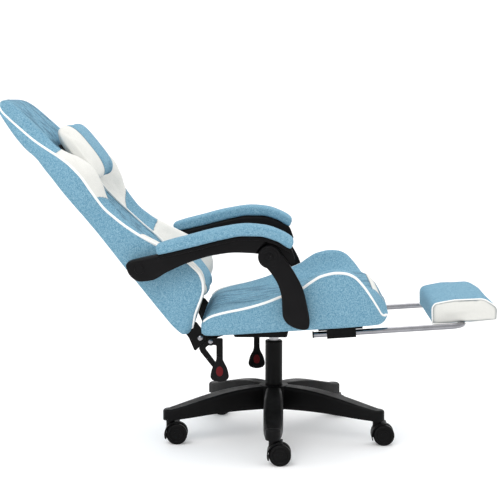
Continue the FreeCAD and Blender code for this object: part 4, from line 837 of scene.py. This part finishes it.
def swell(piece, voxel, cap, pressure=4.0):
    """Evens the mesh, swells it as cloth under pressure, and limits each point's move to cap."""
    bpy.context.view_layer.objects.active = piece
    even = piece.modifiers.new("even", "REMESH")
    even.mode = "VOXEL"
    even.voxel_size = voxel
    bpy.ops.object.modifier_apply(modifier="even")
    before = corners_of(piece)
    cloth = piece.modifiers.new("swell", "CLOTH")
    cloth.settings.use_pressure = True
    cloth.settings.uniform_pressure_force = pressure
    cloth.settings.effector_weights.gravity = 0.0
    cloth.settings.quality = 5
    cloth.point_cache.frame_end = SWELL_FRAMES
    for step in range(1, SWELL_FRAMES + 1):
        bpy.context.scene.frame_set(step)
    bpy.ops.object.modifier_apply(modifier="swell")
    bpy.context.scene.frame_set(1)
    move = corners_of(piece) - before
    far = np.linalg.norm(move, axis=1)[:, None]
    after = before + move * np.minimum(1, cap / np.maximum(far, 1e-9))
    piece.data.vertices.foreach_set("co", after.astype(np.float32).ravel())
    piece.data.update()
    finer = piece.modifiers.new("finer", "SUBSURF")
    finer.levels = finer.render_levels = 1
    bpy.ops.object.modifier_apply(modifier="finer")
    piece.data.shade_smooth()
    return piece


# %% [markdown]
# ### Waist and neck pillows
# A pillow is two panels sewn round their edge: fat in the middle and thin at the rim. A
# superellipsoid, which is a ball with squarer corners, is the closest simple surface. Both
# pillows have white leather ends and a blue middle, and the neck pillow's middle stands
# proud of its ends.

# %% Pillow surface
def pillow_rings(half, low, high, rear, front, end_rear, end_front, squareness):
    """Superellipsoid: along +Y by the signed power of sine, and round each ring by signed powers
    of cosine and sine. Its thickness runs from the middle's to the ends' with the place along Y."""
    lift = np.linspace(-np.pi / 2, np.pi / 2, 71)[1:-1, None]
    turn = np.linspace(0, 2 * np.pi, 97)[None, :-1]
    power = lambda wave, p: np.sign(wave) * np.abs(wave) ** p
    y = half * power(np.sin(lift), squareness)
    ring = np.abs(np.cos(lift)) ** squareness
    middle = np.clip(1.35 - 1.5 * (y / half) ** 2, 0, 1)
    back_face = end_rear + (rear - end_rear) * middle
    front_face = end_front + (front - end_front) * middle
    up = (low + high) / 2 + (high - low) / 2 * ring * power(np.cos(turn), 0.62)
    thick = (front_face - back_face) / 2 * ring
    out = (back_face + front_face) / 2 + thick * power(np.sin(turn), 0.75)
    return up, y + 0 * turn, out


VOXEL = 0.005


def pillow(name, sizes, seam_at, cap=0.006):
    """One pillow: the surface, swollen, with its ends beyond seam_at marked as leather."""
    piece = skin(name, on_back(*pillow_rings(**sizes)))
    swell(piece, VOXEL, cap)
    y = corners_of(piece)[:, 1]
    mark(piece, "leather_side", np.abs(y) - seam_at)
    mark(piece, "seam_distance", np.abs(y) - seam_at)
    thread_map(piece, BACK_UP)
    return piece


WAIST_SIZES = {"half": 0.135, "low": 0.070, "high": 0.252, "rear": 0.046, "front": 0.098,
               "end_rear": 0.060, "end_front": 0.084, "squareness": 0.42}
NECK_SIZES = {"half": 0.138, "low": 0.513, "high": 0.697, "rear": 0.020, "front": 0.079,
              "end_rear": 0.027, "end_front": 0.058, "squareness": 0.25}
waist_pillow = pillow("waist_pillow", WAIST_SIZES, seam_at=0.096)
dress(waist_pillow, "back", pillow_cover, "lumbar_pillow", slot="blue_fabric")
neck_pillow = pillow("neck_pillow", NECK_SIZES, seam_at=0.085)
dress(neck_pillow, "back", pillow_cover, "headrest_pillow", slot="blue_fabric")
print("pillow faces:", len(waist_pillow.data.polygons), len(neck_pillow.data.polygons))

# %% [markdown]
# ### Footrest pad
# The footrest is a foam block over a board: blue over the top and front, and white leather
# end caps with piping round them. Its side outline comes from six rounded corners, and the
# outline shrinks a little at both ends so that the caps are crowned.

# %% Rounded outlines
def rounded_outline(corners, steps=9):
    """Closed outline through corners (a, b, radius): each corner becomes an arc that touches both
    of its sides, and the arcs' points follow each other."""
    corners = np.asarray(corners, float)
    here = corners[:, :2]
    back_way = np.roll(here, 1, 0) - here
    ahead_way = np.roll(here, -1, 0) - here
    back_way /= np.linalg.norm(back_way, axis=1)[:, None]
    ahead_way /= np.linalg.norm(ahead_way, axis=1)[:, None]
    half = np.arccos(np.clip((back_way * ahead_way).sum(1), -1, 1)) / 2
    halfway = back_way + ahead_way
    halfway /= np.linalg.norm(halfway, axis=1)[:, None]
    radius = corners[:, 2]
    centre = here + halfway * (radius / np.sin(half))[:, None]
    first = here + back_way * (radius / np.tan(half))[:, None] - centre
    last = here + ahead_way * (radius / np.tan(half))[:, None] - centre
    t = np.linspace(0, 1, steps)[None, :, None]
    arc = first[:, None] * (1 - t) + last[:, None] * t
    length = np.linalg.norm(arc, axis=2, keepdims=True)
    arc *= radius[:, None, None] / np.maximum(length, 1e-9)
    return (centre[:, None] + arc).reshape(-1, 2)


def crowned_block(name, outline, put, inner, outer, round_by, rows=41):
    """An outline carried from inner to outer along Y. Towards both ends it shrinks as a quarter
    circle of radius round_by, so the ends are crowned, and it ends over a small flat."""
    t = np.linspace(0, np.pi / 2, 8)
    drawn, shrunk = round_by * (1 - np.cos(t)), round_by * (1 - np.sin(t))
    straight = np.linspace(inner + round_by, outer - round_by, rows)[1:-1]
    y = np.concatenate([inner + drawn, straight, outer - drawn[::-1]])
    inset = np.concatenate([shrunk, np.zeros(rows - 2), shrunk[::-1]])
    centre = outline.mean(0)
    reach = outline - centre
    unit = reach / np.linalg.norm(reach, axis=1)[:, None]
    ring = outline[None] - unit[None] * inset[:, None, None]
    return skin(name, put(ring[:, :, 0], y[:, None] + 0 * ring[:, :, 0], ring[:, :, 1]))


# %% Footrest pad and its piping
BOARD_LEVEL = -0.0305 + 0.008 + 0.003
CAP_AT = 0.163
PAD_CORNERS = [
    (0.633, -0.0075, 0.004), (0.817, -0.0075, 0.005), (0.820, 0.030, 0.018),
    (0.782, 0.056, 0.045), (0.700, 0.058, 0.050), (0.636, 0.050, 0.018)]
pad_outline = rounded_outline(PAD_CORNERS) + [0, BOARD_LEVEL]
foot_pad = crowned_block("footrest_cushion", pad_outline, on_seat, -0.169, 0.169, round_by=0.010)
swell(foot_pad, VOXEL, cap=0.003)
past_seam = np.abs(corners_of(foot_pad)[:, 1]) - CAP_AT
mark(foot_pad, "leather_side", past_seam)
mark(foot_pad, "seam_distance", past_seam)
thread_map(foot_pad, SEAT_ALONG)
dress(foot_pad, "footrest", pillow_cover, "footrest_pad", slot="blue_fabric")


def laid_on(path, piece, lift):
    """Moves each point of a path to the nearest place on the piece, and lift out of its surface."""
    tree = BVHTree.FromObject(piece, bpy.context.evaluated_depsgraph_get())
    found = [tree.find_nearest(Vector(p)) for p in path]
    return np.array([hit + normal * lift for hit, normal, _, _ in found])


for sign, side in SIDES:
    ring = on_seat(pad_outline[:, 0], CAP_AT * sign, pad_outline[:, 1])
    ring = laid_on(np.vstack([ring, ring[:1]]), foot_pad, lift=0.0005)
    ring[:, 1] = CAP_AT * sign
    made = piping(f"footrest_piping_{side}", ring, 0.0020, 180, loop=True)
    dress(made, "footrest", white_piping, slot="white_leather")

# %% [markdown]
# ## Armrests
# An armrest is a hollow moulding with a padded top, hinged to a boot-shaped post. Its side
# view is two curves, top and underside, and at each place between them the cross-section is
# a rounded box. So the surface has two parameters: how far along the curves, and the angle
# round the section.

# %% Arm outlines from the knuckle, in millimetres
ARM_CROWN = [
    (-385.5, -25), (-378, -15), (-350, -6.5), (-297, 5.4), (-213.7, 24), (-121, 47),
    (-72, 55.5), (-28, 55), (18, 42.5), (55, 22.6), (70, -13)]
ARM_BELLY = [
    (-385.5, -25), (-376, -50), (-348, -69), (-316, -65.5), (-275, -43.5), (-213.7, -16),
    (-152, 2.4), (-90, 10.2), (-44, 8.6), (10, -6.5), (58, -22), (70, -13)]
PAD_CROWN = [
    (-303, 30), (-291, 36.5), (-213, 58.5), (-136, 78), (-59, 88.5), (-13, 84.5),
    (33, 69), (60, 51.5), (65, 42)]
PAD_BELLY = [
    (-303, 30), (-297, 6.2), (-213.7, 24.6), (-121, 47.6), (-72, 56.1), (-28, 55.6),
    (18, 43.2), (55, 23.4), (65, 42)]
POST_REAR = [
    (-12, 22), (-26, 4), (-24, -16), (-8, -30), (11, -54), (25.6, -83),
    (32.8, -116), (34.7, -157), (40, -172), (54, -186), (73, -194.5), (91, -197.5),
    (103, -195)]
POST_FRONT = [
    (-12, 22), (10, 26), (29, 10), (46, -11), (68.9, -46), (89.4, -87.4),
    (101.7, -136.7), (108, -178), (106, -190), (103, -195)]
KNUCKLE = np.array([-0.0103, 0.5637])


def between_curves(top, under, inner, outer, rows, squareness=0.35, crease=0.0):
    """Rings between two side-view curves. Each ring is a superellipse: height by the signed power
    of sine between under and top, and depth by the signed power of cosine between inner and
    outer. A crease pulls the outer face in along a Gaussian line a third of the way down."""
    high = along_chain(np.array(top) / 1000, rows)
    low = along_chain(np.array(under) / 1000, rows)
    turn = np.linspace(0, 2 * np.pi, 73)[:-1]
    power = lambda wave: np.sign(wave) * np.abs(wave) ** squareness
    up = power(np.sin(turn))[None, :, None]
    side = power(np.cos(turn))[None]
    xz = (high + low)[:, None] / 2 + (high - low)[:, None] / 2 * up + KNUCKLE
    thin = np.clip(np.linalg.norm(high - low, axis=1) / 0.012, 0.0, 1)[:, None] ** 0.5
    inner, outer = (np.broadcast_to(np.asarray(v, float), rows)[:, None] for v in (inner, outer))
    y = (inner + outer) / 2 + (outer - inner) / 2 * side * (0.5 + 0.5 * thin)
    y = y - crease * thin * np.exp(-(((up[..., 0] - 0.30) / 0.16) ** 2)) * (side > 0.3)
    return np.stack([xz[..., 0], y, xz[..., 1]], -1)


# %% Grips, pads and posts
# The arm's outer face, the same face where the post's disc lies over it, and the disc's room
ARM_OUTER, BEHIND_DISC, DISC_ROOM = 0.2955, 0.2798, 0.0325
for sign, side in SIDES:
    flip = np.array([1, sign, 1])
    rings = between_curves(ARM_CROWN, ARM_BELLY, 0.2585, ARM_OUTER, 170, 0.34, 0.0024)
    out_x, out_z = rings[..., 0] - KNUCKLE[0], rings[..., 2] - KNUCKLE[1]
    clear = np.minimum((np.hypot(out_x, out_z) - DISC_ROOM) / 0.004, (-0.006 - out_x) / 0.006)
    outer_face = BEHIND_DISC + (ARM_OUTER - BEHIND_DISC) * np.clip(clear, 0, 1) ** 0.7
    rings[..., 1] = np.minimum(rings[..., 1], outer_face)
    grip = skin(f"armrest_grip_{side}", rings[1:-1] * flip)
    dress(grip, f"arm_{side}", arm_nylon, f"arm_link_{side}", slot="black_plastic")
    shelf_top = [(x, z) for x, z in ARM_CROWN if -300 < x < 60]
    shelf = [(x, z - 11) for x, z in shelf_top]
    rings = between_curves(shelf_top, shelf, 0.2595, 0.3015, 90, 0.3)
    shelf_piece = skin(f"armrest_shelf_{side}", rings * flip)
    dress(shelf_piece, f"arm_{side}", arm_nylon, slot="black_plastic")
    rings = between_curves(PAD_CROWN, PAD_BELLY, 0.2535, 0.3205, 110, 0.52)
    pad = skin(f"armrest_pad_{side}", rings[1:-1] * flip)
    everywhere = np.ones(len(pad.data.vertices))
    mark(pad, "leather_side", -FAR * everywhere)
    mark(pad, "seam_distance", FAR * everywhere)
    thread_map(pad, np.array([1.0, 0, 0]))
    dress(pad, f"arm_{side}", pillow_cover, f"arm_pad_{side}", slot="blue_fabric")
    fall = along_chain(np.array(POST_FRONT) / 1000, 110)[:, 1]
    inner = 0.2812 - 0.0225 * np.clip((-0.088 - fall) / 0.012, 0, 1) ** 0.7
    rings = between_curves(POST_FRONT, POST_REAR, inner, 0.2980, 110, 0.36)
    post = skin(f"armrest_post_{side}", rings[1:-1] * flip)
    dress(post, f"post_{side}", arm_nylon, f"arm_post_{side}", slot="black_plastic")
    print("armrest", side, "faces:", len(grip.data.polygons) + len(pad.data.polygons))


# %% [markdown]
# ### Turned details
# Round parts are a profile turned about an axis: the post's disc with its shallow ring, the
# cap over each knuckle, and the cap over the rear stud.

# %% Turned parts
def turned(name, profile, centre, sign=1, steps=72):
    """A profile of (radius, y) turned about the Y axis through centre, in millimetres."""
    profile = np.array(profile, float) / 1000
    turn = np.linspace(0, 2 * np.pi, steps + 1)[:-1]
    x = centre[0] + profile[:, :1] * np.cos(turn)
    z = centre[1] + profile[:, :1] * np.sin(turn)
    y = np.repeat(profile[:, 1:], steps, 1) * sign
    return skin(name, np.stack([x, y, z], -1))


REAR_STUD = on_back(0.2567, 0, 0.0032)[[0, 2]]
DISC = [(0.2, 281), (29, 281), (30.6, 282.5), (31, 284), (31, 295.5), (30.2, 297.6), (28, 298.4),
        (25.2, 298.4), (24.4, 297.6), (23.6, 298.2), (12.5, 298.6), (12, 298.0), (11.4, 298.0),
        (0.2, 298.0)]
CAP = [(0.2, 270), (6, 270), (6, 298.6), (9, 298.8), (9, 300.2), (8.2, 300.8), (4.4, 301),
       (4, 300.2), (0.2, 300.2)]
STUD_COVER = [(0.2, 294), (13, 294), (13.4, 295.4), (12.6, 296.6), (10, 297.1), (0.2, 297.3)]
for sign, side in SIDES:
    made = turned(f"knuckle_disc_{side}", DISC, KNUCKLE, sign)
    dress(made, f"post_{side}", arm_nylon, slot="black_plastic")
    made = turned(f"knuckle_cap_{side}", CAP, KNUCKLE, sign)
    dress(made, f"arm_{side}", arm_nylon, f"knuckle_pin_{side}", slot="black_plastic")
    made = turned(f"stud_cover_{side}", STUD_COVER, REAR_STUD, sign, 48)
    dress(made, f"arm_{side}", arm_nylon, slot="black_plastic")
print("rear studs at:", REAR_STUD.round(4))

# %% [markdown]
# ## Lever paddles
# Both levers end in a spoon that hangs from a sleeve. The spoon is a rounded box whose width
# follows a curve down its length, with an oval inlay on both faces.

# %% Spoon and inlay
HALF_WIDTHS = (0.0088, 0.0092, 0.0105, 0.0215, 0.0255, 0.019, 0.004)
SPOON_LENGTH = 0.062


def spoon_rings(x, y, top, drop, neck, thick=0.009):
    """Half width through seven values down the neck and the spoon; each level is a superellipse,
    and both faces of the spoon are dished by a Gaussian across them."""
    t = np.linspace(0, 1, 60)
    spoon = np.array([0.04, 0.42, 0.75, 0.93, 1]) * (1 - neck) + neck
    wide = smooth_through(t, [0, neck * 0.9, *spoon], HALF_WIDTHS)
    deep = thick / 2 * (1 - (2 * np.abs(t - 0.5)) ** 8)[:, None] + 0.0006
    turn = np.linspace(0, 2 * np.pi, 49)[None, :-1]
    power = lambda wave: np.sign(wave) * np.abs(wave) ** 0.55
    across = wide * power(np.cos(turn))
    dish = 0.35 * np.exp(-(across / 0.012) ** 2) * (t[:, None] > neck + 0.1)
    out = deep * power(np.sin(turn)) * (1 - dish)
    return np.stack([x + across, y + out, (top - drop * t)[:, None] + 0 * across], -1)


def inlay_rings(x, y, z, sign):
    """An oval button on one face: ellipses that step out from the face and shrink to a point."""
    turn = np.linspace(0, 2 * np.pi, 49)[:-1]
    return np.array([
        np.stack([x + 0.0105 * share * np.cos(turn), np.full(48, y + sign * (0.0030 + proud)),
                  z + 0.014 * share * np.sin(turn)], -1)
        for share, proud in ((0.02, 0.0), (1.0, 0.0), (1.0, 0.0006), (0.9, 0.0013), (0.5, 0.0016),
                             (0.02, 0.0017))])


for name, node_name, body in (("recline_paddle", "recline_lever_paddle", "recline_lever"),
                              ("height_paddle", "height_lever_paddle", "height_lever")):
    low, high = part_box(node_name)
    x, y = (low.x + high.x) / 2, (low.y + high.y) / 2
    drop = high.z - low.z
    spoon = skin(name, spoon_rings(x, y, high.z, drop, 1 - SPOON_LENGTH / drop))
    dress(spoon, body, arm_nylon, node_name, slot="black_plastic")
    for face, sign in (("near", -1), ("far", 1)):
        made = skin(f"{name}_inlay_{face}", inlay_rings(x, y, low.z + 0.030, sign))
        dress(made, body, red_inlay, slot="black_plastic")
    print(name, "hangs down", round(drop, 4))

# %% [markdown]
# ## Cloth under the seat and the pillow's elastic
# A thin black cloth closes the seat from below. It is one sheet, pulled tight, and it sags by
# a millimetre between the frame's tubes. The neck pillow is held by a loop of elastic tape.
# Both are thin surfaces that a Solidify modifier gives their thickness.

# %% Lining
LINING_WIDTH, LINING_LENGTH = 0.336, 0.450
u = np.linspace(0, 1, 60)[:, None]
v = np.linspace(-1, 1, 50)[None]
sag = 0.00105 * np.sin(np.pi * u) * (1 - v ** 2)
sheet_points = on_seat(0.016 + LINING_LENGTH * u, LINING_WIDTH / 2 * v, -0.0085 - sag)
liner = link_mesh("seat_lining", sheet_points, open_faces(60, 50).tolist())
thread_map(liner, SEAT_ALONG)
thickness = liner.modifiers.new("thickness", "SOLIDIFY")
thickness.thickness = 0.0008
dress(liner, "seat", lining, "seat_cover", slot="black_cloth")

# %% Neck pillow's tape
# Corners of the loop as (across, out of the face, radius). Its rear run leans with the cushion.
LOOP_CORNERS = [(-0.1001, -0.0441, 0.004), (0.1001, -0.0441, 0.004),
                (0.1001, 0.0141, 0.004), (-0.1001, 0.0141, 0.004)]
loop = rounded_outline(LOOP_CORNERS)
TAPE_LOW, TAPE_HIGH = 0.6302, 0.6598
tape_rows = np.linspace(TAPE_LOW, TAPE_HIGH, 7)[:, None]
tape_fit = np.where(loop[None, :, 1] < -0.02, 0.0004 - 0.11 * (tape_rows - 0.63), 0.0)
tape_points = on_back(tape_rows, loop[None, :, 0], loop[None, :, 1] + tape_fit)
tape = link_mesh("pillow_tape", tape_points, grid_faces(7, len(loop)).tolist())
thread_map(tape, BACK_UP)
thickness = tape.modifiers.new("thickness", "SOLIDIFY")
thickness.thickness = 0.0014
thickness.offset = 0.0
dress(tape, "back", elastic, "headrest_strap", slot="black_cloth")

# %% [markdown]
# ## The CAD parts that stay
# Base, casters, column, mechanism, plates, levers and the footrest's tube have their true
# shape already. They only need a finish.

# %% Finishes for the CAD nodes
FINISHES = {
    base_nylon: ["star_base"] + [f"caster_{k}_hood" for k in range(1, 6)],
    wheel_nylon: [f"caster_{k}_wheels" for k in range(1, 6)]
    + ["bar_stops", "footrest_clips", "guide_bush"],
    steel: ["thrust_bearing", "piston_rod", "gas_cylinder", "valve_button", "mechanism_bolts",
            "height_lever_pin", "arm_rear_studs", "post_studs"]
    + [f"caster_{k}_pins" for k in range(1, 6)],
    painted: ["column_tube", "mechanism_plate", "seat_frame", "back_frame",
              "seat_hinge_plate_left", "seat_hinge_plate_right", "back_hinge_plate_left",
              "back_hinge_plate_right", "recline_lever", "height_lever_rod",
              "footrest_rail_left", "footrest_rail_right"],
    chrome: ["footrest_bar", "hinge_pins", "lever_pins"],
    board_wood: ["footrest_board"],
}
for material, names in FINISHES.items():
    for name in names:
        slots = nodes[name].data.materials
        slots.clear()
        slots.append(material)
print("CAD nodes finished:", sum(len(names) for names in FINISHES.values()))

# %% [markdown]
# ## Floor
# One pale sheet is the floor and the backdrop: level under the chair, then a quarter circle,
# then straight up, so that no horizon line shows behind the chair.

# %% Backdrop
bend = np.linspace(0, np.pi / 2, 24)
side_view = np.vstack([np.stack([np.linspace(-9, 3, 12), np.zeros(12)], 1),
                       np.stack([3 + 2 * np.sin(bend), 2 - 2 * np.cos(bend)], 1),
                       np.stack([np.full(8, 5.0), np.linspace(2.2, 9, 8)], 1)])
points = np.stack(np.broadcast_arrays(np.linspace(-12, 12, 20)[None], side_view[:, :1],
                                      side_view[:, 1:]), -1)
floor_mesh = bpy.data.meshes.new("floor")
floor_mesh.from_pydata(points.reshape(-1, 3).tolist(), [], open_faces(*points.shape[:2]).tolist())
floor_mesh.shade_smooth()
floor = bpy.data.objects.new("floor", floor_mesh)
bpy.context.scene.collection.objects.link(floor)
made, tree, shader, place = start_material("pale_floor")
mottled = noise(tree, place, 1.5, 3.0)
PALE, PALER = (0.90, 0.90, 0.905, 1), (0.93, 0.93, 0.93, 1)
plug(tree, shader.inputs["Base Color"], blend_colour(tree, mottled, PALER, PALE))
shader.inputs["Roughness"].default_value = 0.9
shader.inputs["Emission Color"].default_value = (1, 1, 1, 1)
shader.inputs["Emission Strength"].default_value = 0.14
floor_mesh.materials.append(made)
